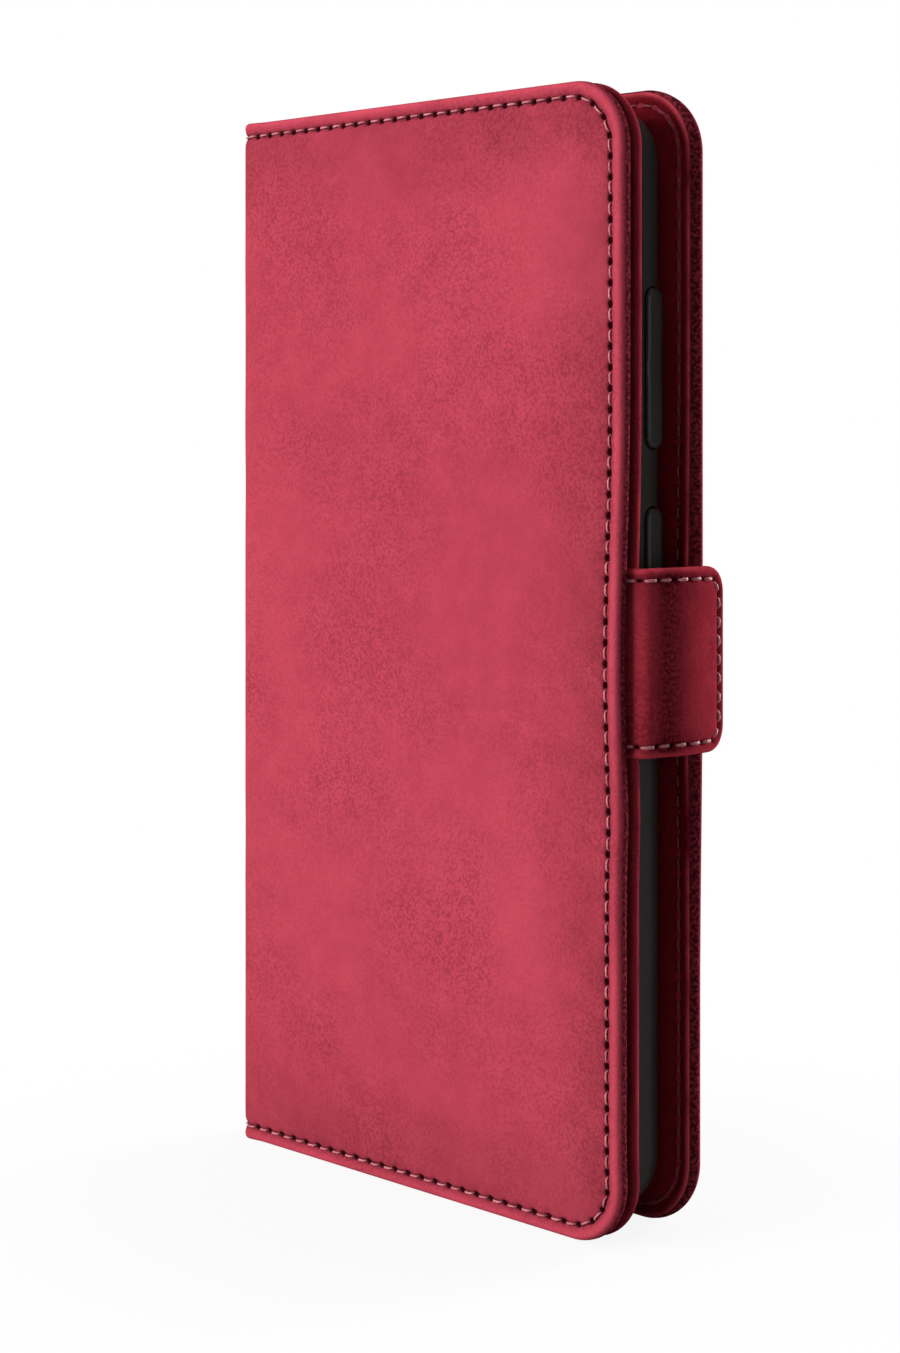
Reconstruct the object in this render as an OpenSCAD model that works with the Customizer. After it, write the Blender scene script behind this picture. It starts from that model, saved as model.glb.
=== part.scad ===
// Wallet case for a phone. Two leather covers and a spine fold like a book around a soft shell
// that holds the phone. The front cover has card pockets inside, and a magnetic strap sewn
// between its layers closes over the open side.
//
// The case stands closed on its bottom edge. X runs from the spine to the open side, Y from the
// front cover to the back cover, and Z is up. A depth t is counted from the front cover's outer
// face towards the back cover. Lengths are in millimetres.

/* [Phone] */
// Width of the phone that the shell holds
phone_w = 75; // [60:0.5:92]
// Height of the phone
phone_h = 158; // [130:0.5:192]
// Thickness of the phone
phone_t = 7.6; // [6:0.1:12]
// Clearance around the phone inside the shell
phone_gap = 0.15; // [0.05:0.05:0.4]

/* [Shell] */
// Thickness of the shell's side walls
shell_wall = 1.6; // [1:0.1:2.4]
// Thickness of the shell's back
shell_back = 1; // [0.8:0.1:1.6]
// How far the front lip reaches over the phone's edge
shell_lip = 0.8; // [0.4:0.1:1.5]
// Thickness of the front lip
shell_lip_t = 0.7; // [0.4:0.1:1.2]
// Corner radius of the shell, seen from the front
shell_corner_r = 8.5; // [6:0.5:12]
// Rounding of the shell's back edges
shell_edge_r = 4.5; // [3:0.25:5]
// Thickness of the adhesive pad behind the shell
pad_t = 0.3; // [0.2:0.1:0.8]

/* [Leather] */
// Thickness of the outer skin
skin_t = 0.8; // [0.5:0.05:1.2]
// Thickness of the hem that is turned in round a board
hem_t = 0.5; // [0.3:0.05:0.8]
// Width of the turned-in hem
hem_w = 8; // [5:0.5:8.5]
// Thickness of the linings
lining_t = 0.4; // [0.35:0.05:0.8]

/* [Covers] */
// Thickness of the front cover's board
front_board_t = 0.9; // [0.7:0.1:1.6]
// Thickness of the back cover's board
back_board_t = 1.3; // [0.9:0.1:2]
// Corner radius of the covers at the open side
corner_r = 10; // [6:0.5:14]
// How far the covers reach past the shell at the open side
open_margin = 3.3; // [2:0.1:6]
// How far the covers reach past the shell at the top and the bottom
end_margin = 2.75; // [1.5:0.05:6]
// How far the linings and pockets stay back from the cover's edge
lining_inset = 0.4; // [0.2:0.1:1]
// Clearance between the closed front cover and the shell
cover_gap = 0.3; // [0.3:0.05:1]

/* [Spine] */
// Outer radius of the fold between the spine and a cover
fold_r = 1.6; // [1.2:0.1:2.2]
// Gap between the fold and the cover's skin
fold_gap = 0.4; // [0.4:0.05:0.8]
// Width of the soft crease between a fold and the cover's board
crease_w = 2.2; // [1.5:0.1:4]
// Thickness of the spine's board
spine_board_t = 0.6; // [0.4:0.1:1]
// Clearance between the spine's lining and the shell
spine_gap = 0.9; // [0.5:0.1:3]

/* [Pockets] */
// Width of a bank card
card_w = 54; // [50:0.1:56]
// Height of a bank card
card_h = 85.6; // [80:0.1:90]
// How much of a card shows at the mouth of the top pocket
card_grip = 8; // [6:0.5:14]
// Slack above and below a card in its pocket
card_slack = 1.7; // [0.5:0.1:4]
// Thickness of a card pocket's panel
pocket_t = 0.45; // [0.4:0.05:0.8]
// Thickness of the cash pocket's panel
cash_t = 0.6; // [0.5:0.05:1]
// Depth of the hollow behind each panel
hollow_t = 0.15; // [0.1:0.05:0.25]
// Distance of the cash pocket's mouth from the spine end of the panel
cash_mouth = 3.8; // [2:0.1:6]

/* [Strap] */
// Width of the strap
strap_w = 27; // [22:0.5:34]
// How far the strap reaches past the back cover's outer face
strap_reach = 2; // [1:0.1:4]
// Thickness of the strap's outer and inner skins
strap_skin_t = 0.7; // [0.5:0.05:0.9]
// Thickness of the strap's stiffener and magnet
strap_core_t = 0.5; // [0.4:0.05:1]
// Gap between the covers' edges and the closed strap
strap_gap = 0.5; // [0.4:0.1:1.5]
// Corner radius at the strap's free end
strap_corner_r = 4; // [3:0.5:8]
// Width of the strap's sewn rim
strap_rim = 3; // [2.5:0.1:3.5]
// How far the strap's root reaches in between the front cover's layers
root_len = 10; // [6:0.5:14]
// Length of the magnet, along the strap's width
magnet_len = 15; // [10:0.5:15]
// Width of the magnet, along the strap's length
magnet_w = 4.4; // [3:0.1:5]

/* [Catch] */
// Height of the steel catch plate in the back cover
catch_h = 22; // [14:0.5:26]
// Width of the catch plate
catch_w = 9; // [6:0.5:10]
// Thickness of the catch plate
catch_t = 0.6; // [0.4:0.05:0.7]
// Distance of the catch plate from the cover's edge
catch_inset = 3; // [2:0.5:6]

/* [Stitching] */
// Distance of the covers' stitch line from their edges
stitch_inset = 2; // [1.5:0.1:3]
// Width of the thread
thread_w = 0.6; // [0.4:0.05:0.8]
// Depth of the groove that the thread lies in
thread_t = 0.3; // [0.2:0.05:0.3]
// Distance of the strap's stitch line from its edges
strap_stitch_inset = 1.4; // [1:0.1:2]

/* [Buttons] */
// Length of the volume button cover
volume_len = 23.3; // [16:0.1:28]
// Drop from the phone's top edge to the middle of the volume button
volume_drop = 36.9; // [30:0.1:42]
// Length of the power button cover
power_len = 12; // [8:0.1:14]
// Drop from the phone's top edge to the middle of the power button
power_drop = 63.1; // [62:0.1:72]
// How far the button covers sit behind the middle of the phone's thickness
button_shift = 1.1; // [0:0.1:1.4]
// Width of both button covers
button_w = 3.4; // [2.4:0.1:4]
// How far a button cover stands out of the wall
button_proud = 0.7; // [0.5:0.1:1.2]
// Travel of a button cover
button_travel = 0.4; // [0.2:0.05:0.5]
// Gap around a button cover in its window
button_gap = 0.25; // [0.15:0.05:0.4]

/* [Camera window] */
// Width of the camera window
camera_w = 19; // [14:0.5:30]
// Height of the camera window
camera_h = 39; // [20:0.5:44]
// Corner radius of the camera window
camera_r = 8; // [4:0.5:9.5]
// Distance of the window from the phone's long edge
camera_side = 4; // [4:0.5:10]
// Distance of the window from the phone's top edge
camera_top = 5; // [5:0.5:12]

/* [Charging cut-out] */
// Width of the charging cut-out
port_w = 14; // [9:0.5:20]
// Depth of the charging cut-out, from front to back
port_t = 5.4; // [4.6:0.1:5.6]
// Width of the speaker slot
speaker_w = 15; // [6:0.5:18]
// Width of the speaker slot's narrow side, and of the microphone hole
speaker_t = 2.4; // [1:0.1:3]
// Space between the charging cut-out and the speaker slot
speaker_space = 4; // [2:0.5:8]

/* [Hidden] */
$fn = 64;
eps = 0.5;
wine = "#a32f40";
wine_dark = "#7c1f2e";
lining_red = "#6a1824";
thread_pink = "#d98f96";
shell_black = "#26262a";
board_grey = "#8d8577";
steel_grey = "#b4b8bc";

// Shell
pocket_w = phone_w + 2 * phone_gap;
pocket_h = phone_h + 2 * phone_gap;
pocket_depth = phone_t + phone_gap;
shell_w = pocket_w + 2 * shell_wall;
shell_h = pocket_h + 2 * shell_wall;
shell_t = shell_back + pocket_depth + shell_lip_t;

// Depths of the layers, from the front cover's outer face
front_board_end = skin_t + front_board_t;
front_leaf_end = front_board_end + hem_t;
front_lining_end = front_leaf_end + lining_t;
cash_end = front_lining_end + cash_t;
pocket_count = 3;
pockets_end = cash_end + pocket_count * pocket_t;
shell_front = pockets_end + cover_gap;
shell_end = shell_front + shell_t;
back_lining_start = shell_end + pad_t;
back_hem_start = back_lining_start + lining_t;
back_board_start = back_hem_start + hem_t;
back_skin_start = back_board_start + back_board_t;
case_t = back_skin_start + skin_t;

// Overall size and the frame
spine_t = skin_t + spine_board_t + lining_t;
cover_w = spine_t + spine_gap + shell_w + open_margin;
cover_h = shell_h + 2 * end_margin;
strap_t = 2 * strap_skin_t + strap_core_t;
spine_x = -(cover_w + strap_gap + strap_t) / 2;
open_x = spine_x + cover_w;
front_y = -(case_t + strap_reach) / 2;

// Covers
cover_x = spine_x + fold_r + fold_gap;
board_x = cover_x + crease_w;
lining_x = cover_x + fold_gap;

// Shell in the frame
shell_x_hi = open_x - open_margin;
shell_x_lo = shell_x_hi - shell_w;
phone_x_hi = shell_x_hi - shell_wall - phone_gap;
phone_z_hi = end_margin + shell_wall + phone_gap + phone_h;
camera_x = phone_x_hi - camera_side - camera_w / 2;
camera_z = phone_z_hi - camera_top - camera_h / 2;
middle_t = shell_front + shell_lip_t + pocket_depth / 2;
button_t = middle_t + button_shift;
volume_z = phone_z_hi - volume_drop;
power_z = phone_z_hi - power_drop;

// Pockets: the mouths step back evenly from the top pocket to the cash pocket
leaf_x = board_x;
leaf_w = open_x - leaf_x;
seam_space = 0.6;
seam_inset = stitch_inset + thread_w + seam_space;
top_pocket_w = seam_inset + card_w - card_grip;
mouth_step = (leaf_w - cash_mouth - top_pocket_w) / pocket_count;
card_zone_h = card_h + 2 * card_slack;
card_zone_z = cover_h / 2 - card_zone_h / 2;

// Strap
strap_z = cover_h / 2;
strap_start = cash_end + 0.5;
strap_end = case_t + strap_reach;
strap_x = open_x + strap_gap;
strap_core_start = strap_start + 1;
root_side_gap = 0.3;
root_stand_out = 0.3;

// ---------- shared shapes ----------

// Extrudes an outline drawn in X and Z from depth t0 to depth t1
module slab(t0, t1) {
    translate([0, front_y + t1, 0])
        rotate([90, 0, 0])
            linear_extrude(t1 - t0) children();
}

// Outline of a cover's layer: square at the spine end, round at the open side, and held back
// from the top, the bottom and the open side by inset
module leaf2d(x_lo, inset) {
    r = max(corner_r - inset, 0.5);
    x_hi = open_x - inset;
    z_hi = cover_h - inset;
    union() {
        translate([x_lo, inset]) square([x_hi - r - x_lo, z_hi - inset]);
        translate([x_hi - 2 * r, inset + r]) square([2 * r, z_hi - inset - 2 * r]);
        translate([x_hi - r, inset + r]) circle(r);
        translate([x_hi - r, z_hi - r]) circle(r);
    }
}

// A stitch line along the top, the open side and the bottom of a cover
module stitch_line2d(x_lo) {
    difference() {
        leaf2d(x_lo, stitch_inset);
        leaf2d(x_lo - eps, stitch_inset + thread_w);
    }
}

// A rectangle with round corners, about its middle
module round_rect2d(w, h, r) {
    union() {
        square([w, h - 2 * r], center = true);
        square([w - 2 * r, h], center = true);
        for (x = [-1, 1], z = [-1, 1])
            translate([x * (w / 2 - r), z * (h / 2 - r)]) circle(r);
    }
}

// A slot with round ends, its length along X
module pill2d(len, w) {
    union() {
        square([len - w, w], center = true);
        for (x = [-1, 1]) translate([x * (len - w) / 2, 0]) circle(w / 2);
    }
}

// The camera window's outline
module camera2d() {
    translate([camera_x, camera_z]) round_rect2d(camera_w, camera_h, camera_r);
}

// Cuts the camera window through a layer
module with_camera_window() {
    difference() {
        children();
        slab(shell_front, case_t + eps) camera2d();
    }
}

// ---------- back cover ----------

module back_cover_skin() {
    color(wine)
    with_camera_window()
    difference() {
        slab(back_hem_start, case_t) leaf2d(cover_x, 0);
        slab(back_board_start, back_skin_start) leaf2d(cover_x - eps, skin_t);
        slab(back_hem_start - eps, back_board_start) leaf2d(cover_x - eps, hem_w);
        slab(case_t - thread_t, case_t + eps) stitch_line2d(cover_x - eps);
    }
}

module catch2d() {
    translate([open_x - catch_inset - catch_w, strap_z - catch_h / 2]) square([catch_w, catch_h]);
}

module back_board() {
    color(board_grey)
    with_camera_window()
    difference() {
        slab(back_board_start, back_skin_start) leaf2d(board_x, skin_t);
        slab(back_board_start - eps, back_board_start + catch_t) catch2d();
    }
}

module back_infill() {
    color(board_grey)
    with_camera_window()
    slab(back_hem_start, back_board_start) leaf2d(board_x, hem_w);
}

module back_lining() {
    color(lining_red)
    with_camera_window()
    difference() {
        slab(back_lining_start, back_hem_start) leaf2d(lining_x, lining_inset);
        slab(back_lining_start - eps, back_lining_start + thread_t) stitch_line2d(lining_x - eps);
    }
}

// One thread line in the skin and one in the lining
module back_cover_stitching() {
    color(thread_pink) {
        slab(case_t - thread_t, case_t) stitch_line2d(cover_x);
        slab(back_lining_start, back_lining_start + thread_t) stitch_line2d(lining_x);
    }
}

module catch_plate() {
    color(steel_grey)
    slab(back_board_start, back_board_start + catch_t) catch2d();
}

// Sticks the shell to the lining below the camera window
module shell_adhesive_pad() {
    margin = shell_edge_r + 4;
    z_lo = end_margin + margin;
    z_hi = camera_z - camera_h / 2 - 4;
    color("ivory")
    slab(shell_end, back_lining_start)
        translate([shell_x_lo + margin, z_lo]) square([shell_w - 2 * margin, z_hi - z_lo]);
}

// ---------- phone shell ----------

// A tray that closes in round its back edge in a quarter circle. Each prism in the hull starts
// at the front, and the deeper it reaches the smaller it is.
module soft_tray(t0, t1, inset, edge_r, front_chamfer) {
    steps = 4;
    w = shell_w - 2 * inset;
    h = shell_h - 2 * inset;
    r = shell_corner_r - inset;
    hull() {
        tray_prism(t0, t1 - edge_r, w - 2 * front_chamfer, h - 2 * front_chamfer, r - front_chamfer);
        for (i = [0:steps]) {
            a = 90 * i / steps;
            in = edge_r * (1 - cos(a));
            t = t1 - edge_r * (1 - sin(a));
            tray_prism(t0 + front_chamfer, t, w - 2 * in, h - 2 * in, r - in);
        }
    }
}

module tray_prism(t0, t1, w, h, r) {
    slab(t0, t1)
        translate([(shell_x_lo + shell_x_hi) / 2, cover_h / 2])
            round_rect2d(w, h, r, $fn = 32);
}

// A button cover's shape, from x0 to x1
module button_body(x0, x1, z, len, w) {
    translate([x0, front_y + button_t, z])
        rotate([0, 90, 0])
            linear_extrude(x1 - x0) pill2d(len, w);
}

module button_window(z, len) {
    button_body(shell_x_hi - 2 * shell_wall, shell_x_hi + eps, z,
                len + 2 * button_gap, button_w + 2 * button_gap);
}

module phone_shell() {
    mid_x = (shell_x_lo + shell_x_hi) / 2;
    color(shell_black)
    difference() {
        soft_tray(shell_front, shell_end, 0, shell_edge_r, 0.4);
        // The space for the phone, and the smaller opening between the lips
        soft_tray(shell_front + shell_lip_t, shell_end - shell_back, shell_wall,
                  shell_edge_r - shell_wall, 0);
        slab(shell_front - eps, shell_front + shell_lip_t + eps)
            translate([mid_x, cover_h / 2])
                round_rect2d(pocket_w - 2 * shell_lip, pocket_h - 2 * shell_lip,
                             shell_corner_r - shell_wall - shell_lip);
        slab(shell_front + shell_lip_t, case_t) camera2d();
        button_window(volume_z, volume_len);
        button_window(power_z, power_len);
        // Charging cut-out, speaker slot and microphone hole in the bottom wall
        translate([mid_x, front_y + middle_t, 0])
            linear_extrude(end_margin + 2 * shell_wall) pill2d(port_w, port_t);
        translate([mid_x + (port_w + speaker_w) / 2 + speaker_space, front_y + middle_t, 0])
            linear_extrude(end_margin + 2 * shell_wall) pill2d(speaker_w, speaker_t);
        translate([mid_x - port_w / 2 - speaker_space - speaker_t, front_y + middle_t, 0])
            linear_extrude(end_margin + 2 * shell_wall) circle(speaker_t / 2);
        // Microphone hole in the top wall
        translate([mid_x, front_y + middle_t, cover_h - end_margin - 2 * shell_wall])
            linear_extrude(end_margin + 2 * shell_wall) circle(speaker_t / 2);
    }
}

module button_cover(z, len) {
    color(shell_black)
    button_body(shell_x_hi - shell_wall + button_travel, shell_x_hi + button_proud, z, len, button_w);
}

module volume_button_cover() {
    button_cover(volume_z, volume_len);
}

module power_button_cover() {
    button_cover(power_z, power_len);
}

// ---------- spine ----------

// One quarter of the fold between the spine and a cover
module fold_quarter2d() {
    intersection() {
        difference() {
            circle(fold_r);
            circle(max(fold_r - skin_t, 0.2));
        }
        translate([-2 * fold_r, -2 * fold_r]) square(2 * fold_r);
    }
}

// Thread lines across the spine, near its top and its bottom
module spine_thread() {
    for (z = [stitch_inset, cover_h - stitch_inset - thread_w])
        translate([spine_x, front_y + fold_r, z]) cube([thread_t, case_t - 2 * fold_r, thread_w]);
}

module spine_skin() {
    color(wine)
    difference() {
        linear_extrude(cover_h)
        union() {
            translate([spine_x, front_y + fold_r]) square([skin_t, case_t - 2 * fold_r]);
            translate([spine_x + fold_r, front_y + fold_r]) fold_quarter2d();
            translate([spine_x + fold_r, front_y + case_t - fold_r]) mirror([0, 1]) fold_quarter2d();
        }
        spine_thread();
    }
}

// A flat layer inside the spine, clear of both covers' linings
module spine_layer(x0, x1, inset) {
    t0 = front_lining_end + fold_gap;
    t1 = back_lining_start - fold_gap;
    translate([x0, front_y + t0, inset]) cube([x1 - x0, t1 - t0, cover_h - 2 * inset]);
}

module spine_board() {
    color(board_grey)
    spine_layer(spine_x + skin_t, spine_x + skin_t + spine_board_t, skin_t);
}

module spine_lining() {
    color(lining_red)
    spine_layer(spine_x + skin_t + spine_board_t, spine_x + spine_t, lining_inset);
}

module spine_stitching() {
    color(thread_pink)
    spine_thread();
}

// ---------- front cover ----------

module front_cover_skin() {
    color(wine)
    difference() {
        slab(0, front_leaf_end) leaf2d(cover_x, 0);
        slab(skin_t, front_board_end) leaf2d(cover_x - eps, skin_t);
        slab(front_board_end, front_leaf_end + eps) leaf2d(cover_x - eps, hem_w);
        slab(-eps, thread_t) stitch_line2d(cover_x - eps);
    }
}

module front_board() {
    color(board_grey)
    slab(skin_t, front_board_end) leaf2d(board_x, skin_t);
}

module front_infill() {
    color(board_grey)
    slab(front_board_end, front_leaf_end) leaf2d(board_x, hem_w);
}

module front_cover_stitching() {
    color(thread_pink)
    slab(0, thread_t) stitch_line2d(cover_x);
}

// The strap's root between the front cover's layers, grown by gap at its sides
module root2d(gap, x_hi) {
    translate([open_x - root_len - gap, strap_z - strap_w / 2 - gap])
        square([x_hi - open_x + root_len + gap, strap_w + 2 * gap]);
}

module front_lining() {
    color(lining_red)
    difference() {
        slab(front_leaf_end, front_lining_end) leaf2d(lining_x, lining_inset);
        slab(front_leaf_end - eps, front_lining_end + eps) root2d(root_side_gap, open_x);
    }
}

// The hollow behind a panel, between its top and bottom seams and open at its mouth
module hollow(t0, mouth, z_lo, z_hi) {
    x_lo = open_x - mouth;
    slab(t0 - eps, t0 + hollow_t)
        translate([x_lo - eps, z_lo]) square([mouth - seam_inset + eps, z_hi - z_lo]);
}

module cash_pocket_panel() {
    color(wine_dark)
    difference() {
        slab(front_lining_end, cash_end) leaf2d(leaf_x + cash_mouth, lining_inset);
        hollow(front_lining_end, leaf_w - cash_mouth, corner_r, cover_h - corner_r);
        slab(front_lining_end - eps, cash_end + eps) root2d(root_side_gap, open_x);
    }
}

// Card pocket number k, counted from the cash pocket
module card_pocket(k) {
    t0 = cash_end + (k - 1) * pocket_t;
    mouth = top_pocket_w + (pocket_count - k) * mouth_step;
    color(wine_dark)
    difference() {
        slab(t0, t0 + pocket_t) leaf2d(open_x - mouth, lining_inset);
        hollow(t0, mouth, card_zone_z, card_zone_z + card_zone_h);
        if (k == pocket_count) card_seams();
    }
}

module card_pocket_1() {
    card_pocket(1);
}

module card_pocket_2() {
    card_pocket(2);
}

module card_pocket_3() {
    card_pocket(3);
}

// The seams above and below the cards, let into the top pocket's panel
module card_seams() {
    for (z = [card_zone_z - seam_space - thread_w, card_zone_z + card_zone_h + seam_space])
        slab(pockets_end - thread_t, pockets_end)
            translate([open_x - top_pocket_w, z]) square([top_pocket_w - seam_inset, thread_w]);
}

module card_pocket_stitching() {
    color(thread_pink)
    card_seams();
}

// The strap's thinned end, sewn in between the front cover's layers
module strap_root() {
    color(wine)
    slab(front_leaf_end, cash_end) root2d(0, open_x + root_stand_out);
}

// ---------- strap ----------

// Extrudes an outline drawn in depth and Z from x0 to x1
module strap_slab(x0, x1) {
    translate([x0, front_y, 0])
        rotate([90, 0, 90])
            linear_extrude(x1 - x0) children();
}

// Outline of the strap's blade, square at the root end and round at the free end
module strap2d(t_lo, inset) {
    r = max(strap_corner_r - inset, 0.5);
    t_hi = strap_end - inset;
    half = strap_w / 2 - inset;
    translate([0, strap_z])
    union() {
        translate([t_lo, -half]) square([t_hi - r - t_lo, 2 * half]);
        translate([t_hi - 2 * r, -half + r]) square([2 * r, 2 * half - 2 * r]);
        for (side = [-1, 1]) translate([t_hi - r, side * (half - r)]) circle(r);
    }
}

module strap_stitch2d() {
    difference() {
        strap2d(strap_start, strap_stitch_inset);
        strap2d(strap_start - eps, strap_stitch_inset + thread_w);
    }
}

module magnet2d() {
    t_hi = strap_end - strap_rim;
    translate([t_hi - magnet_w, strap_z - magnet_len / 2]) square([magnet_w, magnet_len]);
}

// The outer skin is turned over at its rim, so that the core lies in a shallow tray
module strap_outer_skin() {
    core_x = strap_x + strap_skin_t;
    color(wine)
    difference() {
        strap_slab(core_x, strap_x + strap_t) strap2d(strap_start, 0);
        strap_slab(core_x - eps, core_x + strap_core_t) strap2d(strap_core_start, strap_rim);
        strap_slab(strap_x + strap_t - thread_t, strap_x + strap_t + eps) strap_stitch2d();
    }
}

module strap_stiffener() {
    core_x = strap_x + strap_skin_t;
    color(board_grey)
    difference() {
        strap_slab(core_x, core_x + strap_core_t) strap2d(strap_core_start, strap_rim);
        strap_slab(core_x - eps, core_x + strap_core_t + eps) magnet2d();
    }
}

module strap_magnet() {
    core_x = strap_x + strap_skin_t;
    color(steel_grey)
    strap_slab(core_x, core_x + strap_core_t) magnet2d();
}

module strap_inner_skin() {
    color(wine_dark)
    strap_slab(strap_x, strap_x + strap_skin_t) strap2d(strap_start, 0);
}

module strap_stitching() {
    color(thread_pink)
    strap_slab(strap_x + strap_t - thread_t, strap_x + strap_t) strap_stitch2d();
}

back_cover_skin();
back_board();
back_infill();
back_lining();
back_cover_stitching();
catch_plate();
shell_adhesive_pad();
phone_shell();
spine_skin();
spine_board();
spine_lining();
spine_stitching();
front_cover_skin();
front_board();
front_infill();
front_lining();
cash_pocket_panel();
card_pocket_1();
card_pocket_2();
card_pocket_3();
card_pocket_stitching();
front_cover_stitching();
strap_root();
strap_outer_skin();
strap_stiffener();
strap_magnet();
strap_inner_skin();
strap_stitching();
volume_button_cover();
power_button_cover();
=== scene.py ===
import math

import bmesh
import bpy
import numpy as np
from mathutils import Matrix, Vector, geometry


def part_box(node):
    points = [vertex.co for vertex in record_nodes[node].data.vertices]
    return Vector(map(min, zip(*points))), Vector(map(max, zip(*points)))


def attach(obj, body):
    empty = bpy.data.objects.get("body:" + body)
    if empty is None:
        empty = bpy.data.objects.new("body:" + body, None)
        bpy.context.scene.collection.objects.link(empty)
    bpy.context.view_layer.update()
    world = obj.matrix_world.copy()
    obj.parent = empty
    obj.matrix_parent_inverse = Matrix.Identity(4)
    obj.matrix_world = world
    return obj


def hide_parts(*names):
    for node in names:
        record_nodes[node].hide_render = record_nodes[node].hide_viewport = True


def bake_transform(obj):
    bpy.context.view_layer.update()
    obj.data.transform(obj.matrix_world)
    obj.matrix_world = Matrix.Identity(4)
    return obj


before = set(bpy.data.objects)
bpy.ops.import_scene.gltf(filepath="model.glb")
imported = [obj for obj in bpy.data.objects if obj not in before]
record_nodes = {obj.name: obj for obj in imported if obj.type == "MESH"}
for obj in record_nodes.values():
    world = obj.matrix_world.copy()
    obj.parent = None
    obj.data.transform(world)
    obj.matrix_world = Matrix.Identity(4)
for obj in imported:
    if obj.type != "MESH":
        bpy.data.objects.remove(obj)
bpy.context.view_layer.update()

# ---------- the table the case stands on, its camera and its lights ----------
# A pale sweep of paper under a standing case. One large soft light stands in front and to the
# left, and a narrow one behind and to the right picks out the far side of each rounded edge.
MM = 0.001
camera_data = bpy.data.cameras.new("camera")
camera_data.lens = 68.63
camera_data.sensor_width = 36
camera_data.shift_y = -0.1853
camera_data.clip_start = 0.01
camera = bpy.data.objects.new("camera", camera_data)
camera.location = (0.28691, -0.27945, 0.11727)
camera.rotation_euler = (math.radians(90), 0, math.radians(46.148))
bpy.context.scene.collection.objects.link(camera)
bpy.context.scene.camera = camera
bpy.context.scene.view_settings.view_transform = "Standard"


def add_light(name, place, aim, size, watts, colour=(1, 1, 1)):
    """A rectangular soft light at place, turned towards aim."""
    lamp = bpy.data.lights.new(name, "AREA")
    lamp.shape = "RECTANGLE"
    lamp.size, lamp.size_y = size
    lamp.energy = watts
    lamp.color = colour
    holder = bpy.data.objects.new(name, lamp)
    holder.location = place
    holder.rotation_euler = (Vector(aim) - Vector(place)).to_track_quat("-Z", "Y").to_euler()
    bpy.context.scene.collection.objects.link(holder)


add_light("front_light", (-0.38, -1.00, 0.34), (0, 0, 0.10), (0.7, 0.7), 15.5)
add_light("edge_light", (0.17, 0.85, 0.20), (0.04, 0, 0.08), (0.25, 0.6), 13)
add_light("side_light", (0.85, -0.12, 0.12), (0.04, 0, 0.08), (0.5, 0.5), 1.0)
add_light("top_light", (-0.1, 0.0, 0.9), (0, 0, 0.1), (0.5, 0.5), 2.0)


def new_material(name):
    """An empty material: its node tree and its Principled shader."""
    material = bpy.data.materials.new(name)
    material.use_nodes = True
    tree = material.node_tree
    return material, tree, tree.nodes["Principled BSDF"]


def add_node(tree, kind, links=(), **values):
    """Adds a node, sets its own values, and links (input name, source socket) pairs into it."""
    node = tree.nodes.new(kind)
    for key, value in values.items():
        setattr(node, key, value)
    for socket, source in links:
        if hasattr(source, "is_output"):
            tree.links.new(source, node.inputs[socket])
        else:
            node.inputs[socket].default_value = source
    return node


world = bpy.data.worlds.new("studio")
bpy.context.scene.world = world
world.use_nodes = True
backdrop = world.node_tree.nodes["Background"]
backdrop.inputs["Color"].default_value = (1, 1, 1, 1)
seen = add_node(world.node_tree, "ShaderNodeLightPath")
level = add_node(
    world.node_tree,
    "ShaderNodeMapRange",
    [("Value", seen.outputs["Is Camera Ray"]), ("To Min", 0.11), ("To Max", 1.0)],
)
world.node_tree.links.new(level.outputs["Result"], backdrop.inputs["Strength"])

paper_reach = 3.0
paper, tree, shader = new_material("white_paper")
shader.inputs["Roughness"].default_value = 0.9
where = add_node(tree, "ShaderNodeTexCoord")
fibre = add_node(
    tree,
    "ShaderNodeTexNoise",
    [("Vector", where.outputs["Object"]), ("Scale", 900.0), ("Detail", 4.0)],
)
tint = add_node(tree, "ShaderNodeMapRange",
    [("Value", fibre.outputs["Fac"]), ("To Min", 0.86), ("To Max", 0.9)])
seen = add_node(tree, "ShaderNodeLightPath")
bounce = add_node(
    tree, "ShaderNodeMix", [(0, seen.outputs["Is Camera Ray"]), (2, 0.22), (3, tint.outputs["Result"])]
)
tree.links.new(bounce.outputs[0], shader.inputs["Base Color"])
away = add_node(tree, "ShaderNodeVectorMath", [(0, where.outputs["Object"])], operation="LENGTH")
far = add_node(
    tree,
    "ShaderNodeMapRange",
    [("Value", away.outputs["Value"]), ("From Min", 0.03), ("From Max", 0.11), ("To Min", 0.90),
        ("To Max", 1.0)],
    interpolation_type="SMOOTHSTEP",
)
share = add_node(
    tree, "ShaderNodeMath", [(0, far.outputs["Result"]), (1, seen.outputs["Is Camera Ray"])],
    operation="MULTIPLY"
)
glow = add_node(tree, "ShaderNodeEmission", [("Color", (1, 1, 1, 1)), ("Strength", 1.0)])
mixed = add_node(
    tree,
    "ShaderNodeMixShader",
    [(0, share.outputs["Value"]), (1, shader.outputs["BSDF"]), (2, glow.outputs["Emission"])],
)
tree.links.new(mixed.outputs["Shader"], tree.nodes["Material Output"].inputs["Surface"])
sweep = bmesh.new()
bmesh.ops.create_circle(sweep, cap_ends=True, segments=96, radius=paper_reach)
floor_mesh = bpy.data.meshes.new("paper_sweep")
sweep.to_mesh(floor_mesh)
sweep.free()
floor_mesh.materials.append(paper)
floor = bpy.data.objects.new("paper_sweep", floor_mesh)
bpy.context.scene.collection.objects.link(floor)

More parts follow.
